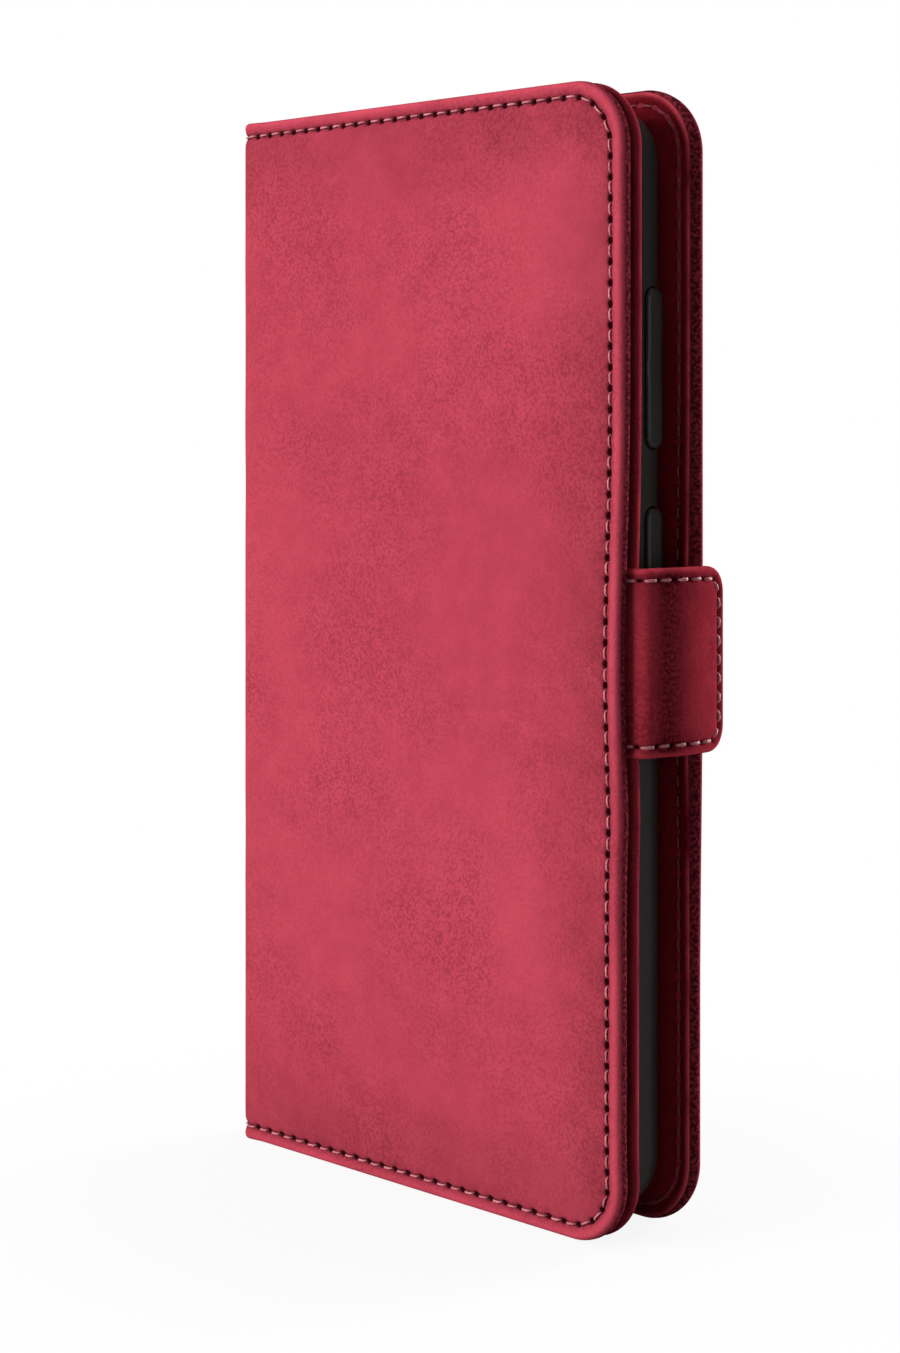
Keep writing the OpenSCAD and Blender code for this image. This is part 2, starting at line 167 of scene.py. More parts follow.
# ---------- outer leather of the two covers and the spine ----------
# One wine-red skin of grained synthetic leather runs round the front, the spine and the back.
# It is turned over the boards' edges and glued down as a hem, then sewn along three sides.
spine_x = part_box("spine_skin")[0].x / MM
open_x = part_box("front_cover_skin")[1].x / MM
front_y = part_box("front_cover_skin")[0].y / MM
back_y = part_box("back_cover_skin")[1].y / MM
case_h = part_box("spine_skin")[1].z / MM
case_t = back_y - front_y
fold_r = 1.6
corner_r = 10.0
half_spine = case_t / 2 - fold_r
fold_len = fold_r * math.pi / 2
cover_len = half_spine + fold_len + (open_x - spine_x - fold_r)
front_leaf_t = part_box("front_cover_skin")[1].y / MM - front_y
back_leaf_t = back_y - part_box("back_cover_skin")[0].y / MM
spine_leaf_t = 1.4
skin_t = 0.62
stitch_in = 2.3
stitch_pitch = 3.0
columns = 12
hem_w = 8.0


def rounded_line(corners, at=0.0, pitch=1.0, per_pitch=1, closed=False):
    """Walks clockwise along square corners (u, z, radius). Gives points on the line and their inward
    directions, spaced evenly along the line that lies at inside it, per_pitch of them to a pitch."""
    dense, inward = [], []
    spots = [np.array(c[:2], float) for c in corners]
    last = len(corners) - 1
    for i, (u, z, radius) in enumerate(corners):
        back = spots[i] - spots[i - 1]
        ahead = spots[(i + 1) % len(spots)] - spots[i]
        if not closed and i == 0:
            back = ahead
        if not closed and i == last:
            ahead = back
        back = back / np.linalg.norm(back)
        ahead = ahead / np.linalg.norm(ahead)
        if not closed and i in (0, last):
            dense.append(spots[i])
            inward.append((ahead[1], -ahead[0]))
            continue
        centre = spots[i] - back * radius + ahead * radius
        for turn in np.linspace(0, math.pi / 2, 49):
            heading = back * math.cos(turn) + ahead * math.sin(turn)
            side = np.array((heading[1], -heading[0]))
            dense.append(centre - radius * side)
            inward.append(side)
    if closed:
        dense.append(dense[0])
        inward.append(inward[0])
    dense, inward = np.array(dense), np.array(inward)
    walked = dense + inward * at
    run = np.concatenate(([0], np.cumsum(np.linalg.norm(np.diff(walked, axis=0), axis=1))))
    count = max(1, round(run[-1] / pitch)) * per_pitch
    spots = np.linspace(0, run[-1], count + 1)
    if closed:
        spots = spots[:-1]
    points = np.stack([np.interp(spots, run, dense[:, k]) for k in (0, 1)], 1)
    sides = np.stack([np.interp(spots, run, inward[:, k]) for k in (0, 1)], 1)
    return points, sides / np.linalg.norm(sides, axis=1)[:, None]


def inside(points, loop):
    """Which points lie inside a closed loop, by counting the edges to one side of each."""
    a, b = loop, np.roll(loop, -1, axis=0)
    x, y = points[:, 0][:, None], points[:, 1][:, None]
    crosses = (a[:, 1] > y) != (b[:, 1] > y)
    rise = np.where(b[:, 1] == a[:, 1], 1e-9, b[:, 1] - a[:, 1])
    return ((crosses & (x < (b[:, 0] - a[:, 0]) * (y - a[:, 1]) / rise + a[:, 0])).sum(1) % 2) == 1


def fill_panel(loop, shoulders, hole, gap, folds=()):
    """Triangles across a flat loop: the loop's points, then the hole's, then the shoulders' and a grid's.
    Where the panel folds, lines of points at each u in folds keep the bend smooth."""
    low, high = loop.min(0), loop.max(0)
    us = np.arange(low[0] + gap / 2, high[0], gap)
    zs = np.arange(low[1] + gap / 2, high[1], gap * 0.87)
    grid = np.array([(u + (k % 2) * gap / 2, z) for k, z in enumerate(zs) for u in us])
    rims = [loop] + ([hole] if hole is not None else [])
    kept = inside(grid, loop)
    if hole is not None:
        kept &= ~inside(grid, hole)
    creases = []
    for u in folds:
        rungs = np.linspace(low[1] + 1.0, high[1] - 1.0, round((high[1] - low[1]) / 1.1))
        creases.append(np.column_stack((np.full(len(rungs), u), rungs)))
    if creases:
        shoulders = [rim[np.abs(rim[:, None, 0] - np.array(folds)).min(1) > 0.35] for rim in shoulders]
        shoulders = [*shoulders, *creases]
    for rim in [*rims, *shoulders]:
        near = np.concatenate(
            [np.linalg.norm(grid[i : i + 500, None] - rim[None], axis=2).min(1)
                for i in range(0, len(grid), 500)])
        kept &= near > gap * 0.62
    extra = np.concatenate([*shoulders, grid[kept]]) if shoulders else grid[kept]
    flat = np.concatenate([*rims, extra])
    edges, start = [], 0
    for rim in rims:
        edges += [(start + i, start + (i + 1) % len(rim)) for i in range(len(rim))]
        start += len(rim)
    made, _, faces, source, _, _ = geometry.delaunay_2d_cdt([Vector(p) for p in flat], edges, [], 0, 1e-6)
    back = [s[0] if s else int(np.argmin(np.linalg.norm(flat - made[i], axis=1)))
            for i, s in enumerate(source)]
    faces = np.array([[back[i] for i in f] for f in faces])
    middles = flat[faces].mean(1)
    good = inside(middles, loop)
    if hole is not None:
        good &= ~inside(middles, hole)
    return extra, faces[good]


def soft_waves(u, z, seed, length=22.0):
    """Smooth, gentle unevenness of hand-laid leather, from about -1 to 1."""
    rng = np.random.default_rng(seed)
    total = np.zeros(np.shape(u))
    for _ in range(7):
        turn, phase, scale = rng.uniform(0, math.tau), rng.uniform(0, math.tau), rng.uniform(0.6, 1.7)
        total = total + np.sin((u * math.cos(turn) + z * math.sin(turn)) * math.tau * scale / length + phase)
    return total / 3.5


def grow(name, material, place, flat, faces, marks):
    """A smooth mesh from flat points (u, z, depth) in mm, wrapped into place. It keeps its flat pattern
    for the grain, and each mark is a value at every point that its material may read."""
    spots = place(flat[:, 0], flat[:, 1], flat[:, 2])
    a, b, c = (spots[faces[-1][k]] for k in (0, 1, 2))
    u, z, d = flat[faces[-1][0]]
    outward = spots[faces[-1][0]] - place(np.array([u]), np.array([z]), np.array([d + 0.1]))[0]
    step = 1 if np.dot(np.cross(b - a, c - a), outward) > 0 else -1
    mesh = bpy.data.meshes.new(name)
    mesh.from_pydata([tuple(p) for p in spots * MM], [], [tuple(int(i) for i in f[::step]) for f in faces])
    mesh.polygons.foreach_set("use_smooth", [True] * len(mesh.polygons))
    pattern = mesh.attributes.new("pattern", "FLOAT_VECTOR", "POINT")
    pattern.data.foreach_set("vector", (flat * MM).astype(np.float32).ravel())
    for key, values in marks.items():
        layer = mesh.attributes.new(key, "FLOAT", "POINT")
        layer.data.foreach_set("value", np.asarray(values, np.float32))
    mesh.update()
    mesh.materials.append(material)
    piece = bpy.data.objects.new(name, mesh)
    bpy.context.scene.collection.objects.link(piece)
    return piece


def panel(name, material, place, relief, line, profile, closed=False, caps=(False, True), hole=None, gap=2.4,
          pitch=3.0, folds=()):
    """A leather panel in its flat pattern. profile gives (distance in from the line, share of the edge's
    thickness) ring by ring, caps fill its first and last rings, and relief gives each point's depth."""
    points, sides = line
    count = len(points)

    def far_in(where):
        """How far each point lies inside the line."""
        return np.concatenate([np.linalg.norm(where[i : i + 400, None] - points[None], axis=2).min(1)
                               for i in range(0, len(where), 400)])

    needle = np.arange(count) % columns
    needle = np.minimum(needle, columns - needle) / columns * pitch
    inner = 30.0
    parts, faces = [], []

    def add(where, inset, along, share):
        start = sum(len(p) for p in parts)
        parts.append(
            np.column_stack((where, *(np.broadcast_to(v, len(where)) for v in (inset, along, share)))))
        return start

    span = count if closed else count - 1
    starts = [add(points + sides * s, s, needle, share) for s, share in profile]
    for low, high in zip(starts, starts[1:]):
        for i in range(span):
            j = (i + 1) % count
            faces.append((low + i, low + j, high + j, high + i))
    hole_rim = None
    if hole is not None:
        (hole_points, hole_sides), hole_profile = hole
        rims = [add(hole_points - hole_sides * s, far_in(hole_points), inner, share)
                for s, share in hole_profile]
        for low, high in zip(rims, rims[1:]):
            for i in range(len(hole_points)):
                j = (i + 1) % len(hole_points)
                faces.append((low + j, low + i, high + i, high + j))
        hole_rim = hole_points - hole_sides * hole_profile[-1][0]
    for first_ring, wanted in zip((True, False), caps):
        if not wanted:
            continue
        k = 0 if first_ring else len(profile) - 1
        s, share = profile[k]
        loop = points + sides * s
        names = [np.arange(starts[k], starts[k] + count)]
        if not closed:
            across = np.linspace(loop[-1], loop[0], round(abs(loop[0, 1] - loop[-1, 1]) / 0.8))[1:-1]
            names.append(add(across, far_in(across), inner, share) + np.arange(len(across)))
            loop = np.concatenate((loop, across))
        shoulders = [(points + sides * (s + 0.7))[1:-1:3], (points + sides * (s + 1.9))[2:-2:7]]
        rim = None if first_ring else hole_rim
        if rim is not None:
            names.append(rims[-1] + np.arange(len(rim)))
            shoulders.append((rim - hole_sides * 0.8)[::3])
        extra, triangles = fill_panel(loop, shoulders, rim, gap, folds)
        names.append(add(extra, far_in(extra), inner, share) + np.arange(len(extra)))
        triangles = np.concatenate(names)[triangles]
        flat = np.concatenate(parts)
        a, b, c = (flat[triangles[:, n], :2] for n in (0, 1, 2))
        turn = (b[:, 0] - a[:, 0]) * (c[:, 1] - a[:, 1]) - (c[:, 0] - a[:, 0]) * (b[:, 1] - a[:, 1])
        faces += [tuple(t) if (w > 0) == first_ring else tuple(t[::-1]) for t, w in zip(triangles, turn)]
    u, z, inset, along, share = np.concatenate(parts).T
    depth, marks = relief(u, z, inset, along, share)
    return grow(name, material, place, np.column_stack((u, z, depth)), faces, marks)


def fold_wrap(u, d):
    """Distances from the spine's face and from the cover's face, for a skin wrapped round the fold."""
    turn = np.clip((u - half_spine) / fold_r, 0, math.pi / 2)
    on_spine, on_cover = u < half_spine, u > half_spine + fold_len
    across = np.where(on_spine, d, fold_r - (fold_r - d) * np.cos(turn))
    down = np.where(on_spine, fold_r + half_spine - u, fold_r - (fold_r - d) * np.sin(turn))
    across = np.where(on_cover, fold_r + u - half_spine - fold_len, across)
    return across, np.where(on_cover, d, down)


def smooth_step(low, high, value):
    t = np.clip((value - low) / (high - low), 0, 1)
    return t * t * (3 - 2 * t)


strap_z = (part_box("strap_outer_skin")[0].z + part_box("strap_outer_skin")[1].z) / 2 / MM
edge_swell = 1.15
low_swell = 0.75
swell_reach = 16.0


def front_swell(x, z):
    """How far the front cover's open edge is pushed out where the strap is sewn in, and below it."""
    beside_strap = edge_swell * np.exp(-(((z - strap_z) / 21.0) ** 2))
    below_strap = low_swell * smooth_step(strap_z - 10, strap_z - 35, z) * smooth_step(0, 14, z)
    return np.maximum(beside_strap, below_strap) * smooth_step(open_x - swell_reach, open_x, x)


def wrap_front(u, z, d):
    across, down = fold_wrap(u, d)
    x = spine_x + across
    return np.column_stack((x, front_y + down - front_swell(x, z), z))


def wrap_back(u, z, d):
    across, down = fold_wrap(u, d)
    x = spine_x + across
    drift = 0.1 * smooth_step(strap_z, 25, z) * smooth_step(open_x - 30, open_x, x)
    spread = (0.3 + 0.4 * smooth_step(35, strap_z, z)) * smooth_step(open_x - 9, open_x, x)
    return np.column_stack((x + spread, back_y - down - drift, z))


def cover_relief(leaf_t, rim_more, seed):
    """Depths of a cover's skin: thinner at the spine, sunk along the stitching and dented at the needle
    holes, with its marks for colour, painted shade and painted highlight.
    """

    def relief(u, z, inset, along, share):
        over = smooth_step(half_spine + fold_len, half_spine + fold_len + 3.5, u)
        leaf = spine_leaf_t + (leaf_t + rim_more * smooth_step(3.5, 1.2, inset) - spine_leaf_t) * over
        face = smooth_step(0.6, 0.0, share) * smooth_step(0.5, 1.4, inset)
        across = inset - stitch_in
        channel = np.exp(-((across / 0.34) ** 2))
        dip = 0.20 * channel + 0.14 * np.exp(-((across / 1.1) ** 2))
        hole = np.exp(-((along / 0.72) ** 2) - ((across - 0.12) / 0.54) ** 2)
        wave = 0.07 * soft_waves(u, z, seed) * smooth_step(4, 14, inset) * smooth_step(0, 20, u)
        depth = share * leaf + face * (dip + 0.42 * hole + wave + 0.05)
        # Painted highlight along the turned edge's crest, partly as scuffing.
        crest = np.exp(-(((share - 0.12) / 0.14) ** 2)) * smooth_step(2.0, 0.6, inset)
        # Painted shade on the turned edge's side.
        side = smooth_step(0.28, 0.48, share) * smooth_step(1.4, 0.7, inset)
        # The stitch channel is darkened partly as compressed leather and partly as painted shade in the
        # groove.
        seam = face * (0.55 * np.exp(-((across / 0.9) ** 2)) + 0.6 * channel)
        # Painted shade in the needle holes, through the hole mask.
        return depth, {
            "pressed": np.clip(seam + 1.2 * side, 0, 1.2),
            "pierced": face * hole,
            "rubbed": crest,
            "near_edge": smooth_step(20, 1, inset) * smooth_step(0.9, 1.8, inset),
        }

    return relief


fold_lines = tuple(half_spine + fold_len * k / 6 for k in range(7))
turned_edge = [(hem_w, 1), (6, 1), (4, 1), (2.6, 1), (1.5, 1), (0.85, 0.985), (0.48, 0.93), (0.22, 0.83),
               (0.07, 0.71), (0, 0.56), (0.02, 0.43), (0.09, 0.31), (0.22, 0.19), (0.42, 0.09), (0.7, 0.03)]
sewn_face = [(s, 0) for s in (1.0, 1.3, 1.55, 1.75, 1.9, 2.04, 2.17, 2.3, 2.43, 2.56, 2.7, 2.85, 3.05, 3.35,
                              3.8, 4.4, 5.2, 6.2, 7.2)]


def cover_line(inset, radius, length):
    """A cover's three sewn sides, from the middle of the spine round the open side and back."""
    corners = [(0, case_h - inset, 0), (length, case_h - inset, radius), (length, inset, radius),
        (0, inset, 0)]
    return rounded_line(corners, stitch_in - inset, stitch_pitch, columns)


def leather_finish(name, bright, deep, rough=(0.46, 0.62), rubbed=None):
    """Synthetic leather: clouded colour, pebbled grain with painted shade in its hollows, seams darkened
    partly as compressed leather and partly as painted shade, needle holes and edge sides in painted shade,
    and edge crests lightened partly from scuffing and partly as a painted highlight.
    """
    material, tree, shader = new_material(name)
    where = add_node(tree, "ShaderNodeAttribute", attribute_name="pattern").outputs["Vector"]
    clouds = add_node(tree, "ShaderNodeGroup", [("Vector", where)], node_tree=cloud_group())
    grain = add_node(tree, "ShaderNodeGroup", [("Vector", where)], node_tree=grain_group())
    wear_and_light = add_node(tree, "ShaderNodeGroup", [("Vector", where)], node_tree=wear_and_light_group())
    colour = add_node(
        tree,
        "ShaderNodeMix",
        [(0, clouds.outputs["Cloud"]), (6, (*deep, 1)), (7, (*bright, 1))],
        data_type="RGBA",
    )
    # Painted shade: the grain's hollows are darkened towards the deep colour.
    pit_shade = add_node(
        tree,
        "ShaderNodeMix",
        [(0, grain.outputs["PitShade"]), (6, colour.outputs[2]), (7, tuple(c * 0.55 for c in deep) + (1,))],
        data_type="RGBA",
    )
    # Painted shade: seam channels, the turned edges' sides, pocket mouths and the strap's bend are darkened
    # towards near black; on the seams this is partly compressed leather.
    pressed = add_node(
        tree,
        "ShaderNodeMix",
        [(0, wear_and_light.outputs["Dark"]), (6, pit_shade.outputs[2]), (7, tuple(c * 0.16 for c in deep) + (1,))],
        data_type="RGBA",
    )
    # Painted highlight: the edge crests are lightened, partly as scuffing.
    worn_and_highlit = add_node(
        tree,
        "ShaderNodeMix",
        [(0, wear_and_light.outputs["Light"]), (6, pressed.outputs[2]),
            (7, (*(rubbed or tuple(c * 1.25 for c in bright)), 1))],
        data_type="RGBA",
    )
    # Painted shade: the needle holes are painted near black.
    pierced = add_node(
        tree,
        "ShaderNodeMix",
        [(0, wear_and_light.outputs["Hole"]), (6, worn_and_highlit.outputs[2]), (7, tuple(c * 0.06 for c in deep) + (1,))],
        data_type="RGBA",
    )
    tree.links.new(pierced.outputs[2], shader.inputs["Base Color"])
    gloss = add_node(
        tree,
        "ShaderNodeMapRange",
        [("Value", grain.outputs["Gloss"]), ("To Min", rough[1]), ("To Max", rough[0])],
    )
    tree.links.new(gloss.outputs["Result"], shader.inputs["Roughness"])
    shader.inputs["Specular IOR Level"].default_value = 0.0
    shader.inputs["Sheen Weight"].default_value = 0.10
    shader.inputs["Sheen Roughness"].default_value = 0.4
    shader.inputs["Sheen Tint"].default_value = (1.0, 0.16, 0.20, 1)
    bump = add_node(
        tree,
        "ShaderNodeBump",
        [("Strength", 0.5), ("Distance", 0.00012), ("Height", grain.outputs["Height"])],
    )
    tree.links.new(bump.outputs["Normal"], shader.inputs["Normal"])
    return material


def node_group(name, inputs, outputs):
    """A shader node group with named sockets: (name, kind, value) for each input and (name, kind) for
    each output."""
    group = bpy.data.node_groups.new(name, "ShaderNodeTree")
    for label, kind, value in inputs:
        socket = group.interface.new_socket(label, in_out="INPUT", socket_type=kind)
        if value is not None:
            socket.default_value = value
    for label, kind in outputs:
        group.interface.new_socket(label, in_out="OUTPUT", socket_type=kind)
    return group, group.nodes.new("NodeGroupInput"), group.nodes.new("NodeGroupOutput")


def cloud_group():
    """Broad cloudy colour, with finer mottling in it."""
    found = bpy.data.node_groups.get("dye_clouds")
    if found:
        return found
    group, start, end = node_group("dye_clouds", [("Vector", "NodeSocketVector", None)],
        [("Cloud", "NodeSocketFloat")])
    vector = start.outputs["Vector"]
    broad = add_node(
        group, "ShaderNodeTexNoise",
        [("Vector", vector), ("Scale", 16.0), ("Detail", 3.0), ("Roughness", 0.5)]
    )
    fine = add_node(
        group, "ShaderNodeTexNoise",
        [("Vector", vector), ("Scale", 210.0), ("Detail", 6.0), ("Roughness", 0.65)]
    )
    mixed = add_node(group, "ShaderNodeMix", [(0, 0.45), (2, broad.outputs["Fac"]), (3, fine.outputs["Fac"])])
    spread = add_node(
        group, "ShaderNodeMapRange", [("Value", mixed.outputs[0]), ("From Min", 0.30), ("From Max", 0.66)],
        interpolation_type="SMOOTHSTEP",
    )
    group.links.new(spread.outputs["Result"], end.inputs["Cloud"])
    return group


def grain_group():
    """Small pebbles crossed by soft wrinkles: their height, a mask for painted shade in the hollows between
    them, and their gloss.
    """
    found = bpy.data.node_groups.get("leather_grain")
    if found:
        return found
    group, start, end = node_group(
        "leather_grain",
        [("Vector", "NodeSocketVector", None)],
        [("Height", "NodeSocketFloat"), ("PitShade", "NodeSocketFloat"), ("Gloss", "NodeSocketFloat")],
    )
    vector = start.outputs["Vector"]
    bend = add_node(group, "ShaderNodeTexNoise", [("Vector", vector), ("Scale", 500.0), ("Detail", 2.0)])
    shift = add_node(group, "ShaderNodeVectorMath", [(0, bend.outputs["Color"]), ("Scale", 0.0007)],
        operation="SCALE")
    moved = add_node(group, "ShaderNodeVectorMath", [(0, vector), (1, shift.outputs["Vector"])],
        operation="ADD")
    pebble = add_node(
        group,
        "ShaderNodeTexVoronoi",
        [("Vector", moved.outputs["Vector"]), ("Scale", 2300.0), ("Smoothness", 0.6)],
        feature="SMOOTH_F1",
    )
    wrinkle = add_node(
        group,
        "ShaderNodeTexNoise",
        [("Vector", moved.outputs["Vector"]), ("Scale", 420.0), ("Detail", 5.0), ("Roughness", 0.6),
            ("Distortion", 1.2)],
    )
    fold = add_node(group, "ShaderNodeMath", [(0, wrinkle.outputs["Fac"]), (1, 0.5)], operation="SUBTRACT")
    crease = add_node(group, "ShaderNodeMath", [(0, fold.outputs["Value"])], operation="ABSOLUTE")
    crease = add_node(group, "ShaderNodeMapRange",
        [("Value", crease.outputs["Value"]), ("From Max", 0.07), ("From Min", 0.0)])
    area = add_node(group, "ShaderNodeTexNoise", [("Vector", vector), ("Scale", 38.0), ("Detail", 2.0)])
    area = add_node(
        group, "ShaderNodeMapRange",
        [("Value", area.outputs["Fac"]), ("From Min", 0.38), ("From Max", 0.62), ("To Min", 0.25)]
    )
    pebble = add_node(group, "ShaderNodeMath", [(0, 1.0), (1, pebble.outputs["Distance"])],
        operation="SUBTRACT")
    both = add_node(
        group, "ShaderNodeMix", [(0, 0.14), (2, pebble.outputs["Value"]), (3, crease.outputs["Result"])]
    )
    height = add_node(group, "ShaderNodeMath", [(0, both.outputs[0]), (1, area.outputs["Result"])],
        operation="MULTIPLY")
    group.links.new(height.outputs["Value"], end.inputs["Height"])
    # Mask of the grain's hollows, where the colour gets painted shade.
    low = add_node(
        group, "ShaderNodeMapRange",
        [("Value", both.outputs[0]), ("From Min", 0.64), ("From Max", 0.36), ("To Max", 0.55)]
    )
    low = add_node(group, "ShaderNodeMath", [(0, low.outputs["Result"]), (1, area.outputs["Result"])],
        operation="MULTIPLY")
    group.links.new(low.outputs["Value"], end.inputs["PitShade"])
    group.links.new(both.outputs[0], end.inputs["Gloss"])
    return group


def wear_and_light_group():
    """Where the skin is darkened along seams, the turned edges' sides and the strap's bend, partly as
    compressed leather and partly as painted shade; painted near black in its needle holes as painted shade;
    darker near its edges; and lighter on its edge crests, partly from scuffing and partly as a painted
    highlight.
    """
    found = bpy.data.node_groups.get("handling_wear_and_painted_light")
    if found:
        return found
    group, start, end = node_group(
        "handling_wear_and_painted_light",
        [("Vector", "NodeSocketVector", None)],
        [("Dark", "NodeSocketFloat"), ("Light", "NodeSocketFloat"), ("Hole", "NodeSocketFloat")],
    )
    mark = {
        key: add_node(group, "ShaderNodeAttribute", attribute_name=key).outputs["Fac"]
        for key in ("pressed", "pierced", "rubbed", "near_edge")
    }
    patch = add_node(
        group,
        "ShaderNodeTexNoise",
        [("Vector", start.outputs["Vector"]), ("Scale", 60.0), ("Detail", 5.0), ("Roughness", 0.6)],
    )
    patch = add_node(
        group, "ShaderNodeMapRange", [("Value", patch.outputs["Fac"]), ("From Min", 0.35), ("From Max", 0.62)]
    ).outputs["Result"]
    uneven = add_node(group, "ShaderNodeMapRange",
        [("Value", patch), ("To Min", 0.14), ("To Max", 0.38)]).outputs["Result"]
    edge = add_node(group, "ShaderNodeMath", [(0, mark["near_edge"]), (1, uneven)],
        operation="MULTIPLY").outputs["Value"]
    nap = add_node(
        group, "ShaderNodeTexNoise", [("Vector", start.outputs["Vector"]), ("Scale", 1900.0), ("Detail", 2.0)]
    )
    nap = add_node(
        group, "ShaderNodeMapRange",
        [("Value", nap.outputs["Fac"]), ("From Min", 0.36), ("From Max", 0.58), ("To Min", 0.35),
            ("To Max", 0.85)],
    ).outputs["Result"]
    seam = add_node(group, "ShaderNodeMath", [(0, mark["pressed"]), (1, nap)],
        operation="MULTIPLY").outputs["Value"]
    dark = add_node(group, "ShaderNodeMath", [(0, edge), (1, seam)], operation="MAXIMUM",
        use_clamp=True).outputs["Value"]
    light = add_node(group, "ShaderNodeMath", [(0, mark["rubbed"]), (1, patch)],
        operation="MULTIPLY").outputs["Value"]
    group.links.new(dark, end.inputs["Dark"])
    group.links.new(light, end.inputs["Light"])
    sunk = add_node(
        group, "ShaderNodeMapRange", [("Value", mark["pierced"]), ("From Min", 0.25), ("From Max", 0.7)],
        interpolation_type="SMOOTHSTEP",
    )
    group.links.new(sunk.outputs["Result"], end.inputs["Hole"])
    return group


wine_leather = leather_finish("wine_leather", (0.50, 0.060, 0.094), (0.41, 0.044, 0.071))


def add_thickness(piece, amount):
    """Gives an open sheet its real thickness, inwards from the face, with crisp cut edges."""
    mesh = piece.data
    edge_of = np.empty(len(mesh.loops), np.int32)
    mesh.loops.foreach_get("edge_index", edge_of)
    mesh.edges.foreach_set("use_edge_sharp", np.bincount(edge_of, minlength=len(mesh.edges)) == 1)
    wall = piece.modifiers.new("thickness", "SOLIDIFY")
    wall.thickness = amount * MM
    wall.offset = -1


def bend_over_front_fold(piece):
    """Bakes a piece's placement into its mesh, for a piece that runs between the spine and the front cover.
    """
    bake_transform(piece)


def bend_over_back_fold(piece):
    """Bakes a piece's placement into its mesh, for a piece that runs between the back cover and the spine."""
    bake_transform(piece)


front_leather = panel(
    "front_cover_leather", wine_leather, wrap_front, cover_relief(front_leaf_t, 0.5, 11),
    cover_line(0, corner_r, cover_len), turned_edge + sewn_face, folds=fold_lines,
)
add_thickness(front_leather, skin_t)
bend_over_front_fold(front_leather)
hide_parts("front_cover_skin")

window_lo, window_hi = (13.0, 118.5), (32.0, 157.5)
window_r = 8.0
to_flat = half_spine + fold_len - spine_x - fold_r


def window_line(grow_by=0.0):
    """The camera window's outline in the back cover's flat pattern."""
    (x0, z0), (x1, z1) = window_lo, window_hi
    x0, x1, z0, z1 = x0 - grow_by + to_flat, x1 + grow_by + to_flat, z0 - grow_by, z1 + grow_by
    r = window_r + grow_by
    corners = [(x0, z1, r), (x1, z1, r), (x1, z0, r), (x0, z0, r)]
    return rounded_line(corners, 0, 0.5, 1, closed=True)


window_edge = [(0.0, 1.15), (0.0, 0.8), (0.0, 0.45), (0.02, 0.3), (0.08, 0.2), (0.2, 0.12), (0.4, 0.06),
               (0.7, 0.02), (1.1, 0), (1.6, 0), (2.4, 0), (3.4, 0)]
back_leather = panel(
    "back_cover_leather", wine_leather, wrap_back, cover_relief(back_leaf_t, -0.3, 23),
    cover_line(0, corner_r, cover_len), turned_edge + sewn_face, hole=(window_line(-0.5), window_edge),
    folds=fold_lines,
)
add_thickness(back_leather, skin_t)
bend_over_back_fold(back_leather)
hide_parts("back_cover_skin", "spine_skin")

# ---------- boards inside the covers and the spine ----------
# Stiff pressed fibre board, die cut and glued between the skin and the linings. A thinner card
# levels the leather's hem, and the steel catch plate is let into the back board.


def board_finish(name, colour):
    """Pressed grey fibre board: flecked colour, a felted surface and a dull, slightly rough face."""
    material, tree, shader = new_material(name)
    where = add_node(tree, "ShaderNodeTexCoord").outputs["Object"]
    fleck = add_node(tree, "ShaderNodeTexNoise",
        [("Vector", where), ("Scale", 1400.0), ("Detail", 6.0), ("Roughness", 0.7)])
    shade = add_node(
        tree,
        "ShaderNodeMix",
        [(0, fleck.outputs["Fac"]), (6, tuple(c * 0.6 for c in colour) + (1,)),
            (7, tuple(min(1, c * 1.3) for c in colour) + (1,))],
        data_type="RGBA",
    )
    tree.links.new(shade.outputs[2], shader.inputs["Base Color"])
    felt = add_node(tree, "ShaderNodeMapRange",
        [("Value", fleck.outputs["Fac"]), ("To Min", 0.78), ("To Max", 0.95)])
    tree.links.new(felt.outputs["Result"], shader.inputs["Roughness"])
    bump = add_node(tree, "ShaderNodeBump",
        [("Strength", 0.4), ("Distance", 0.00008), ("Height", fleck.outputs["Fac"])])
    tree.links.new(bump.outputs["Normal"], shader.inputs["Normal"])
    return material


def repaint(nodes, material):
    """Gives CAD pieces that keep their own shape a finished material."""
    for node in nodes:
        mesh = record_nodes[node].data
        mesh.materials.clear()
        mesh.materials.append(material)


grey_board = board_finish("grey_board", (0.33, 0.30, 0.26))
repaint(("front_board", "front_infill", "back_board", "back_infill", "spine_board"), grey_board)

# ---------- stitching of the two covers ----------
# Waxed polyester thread, sewn by machine about 3 mm to the stitch through every layer at once. It
# shows on the outer leather and again inside, and each stitch dips into its needle holes.


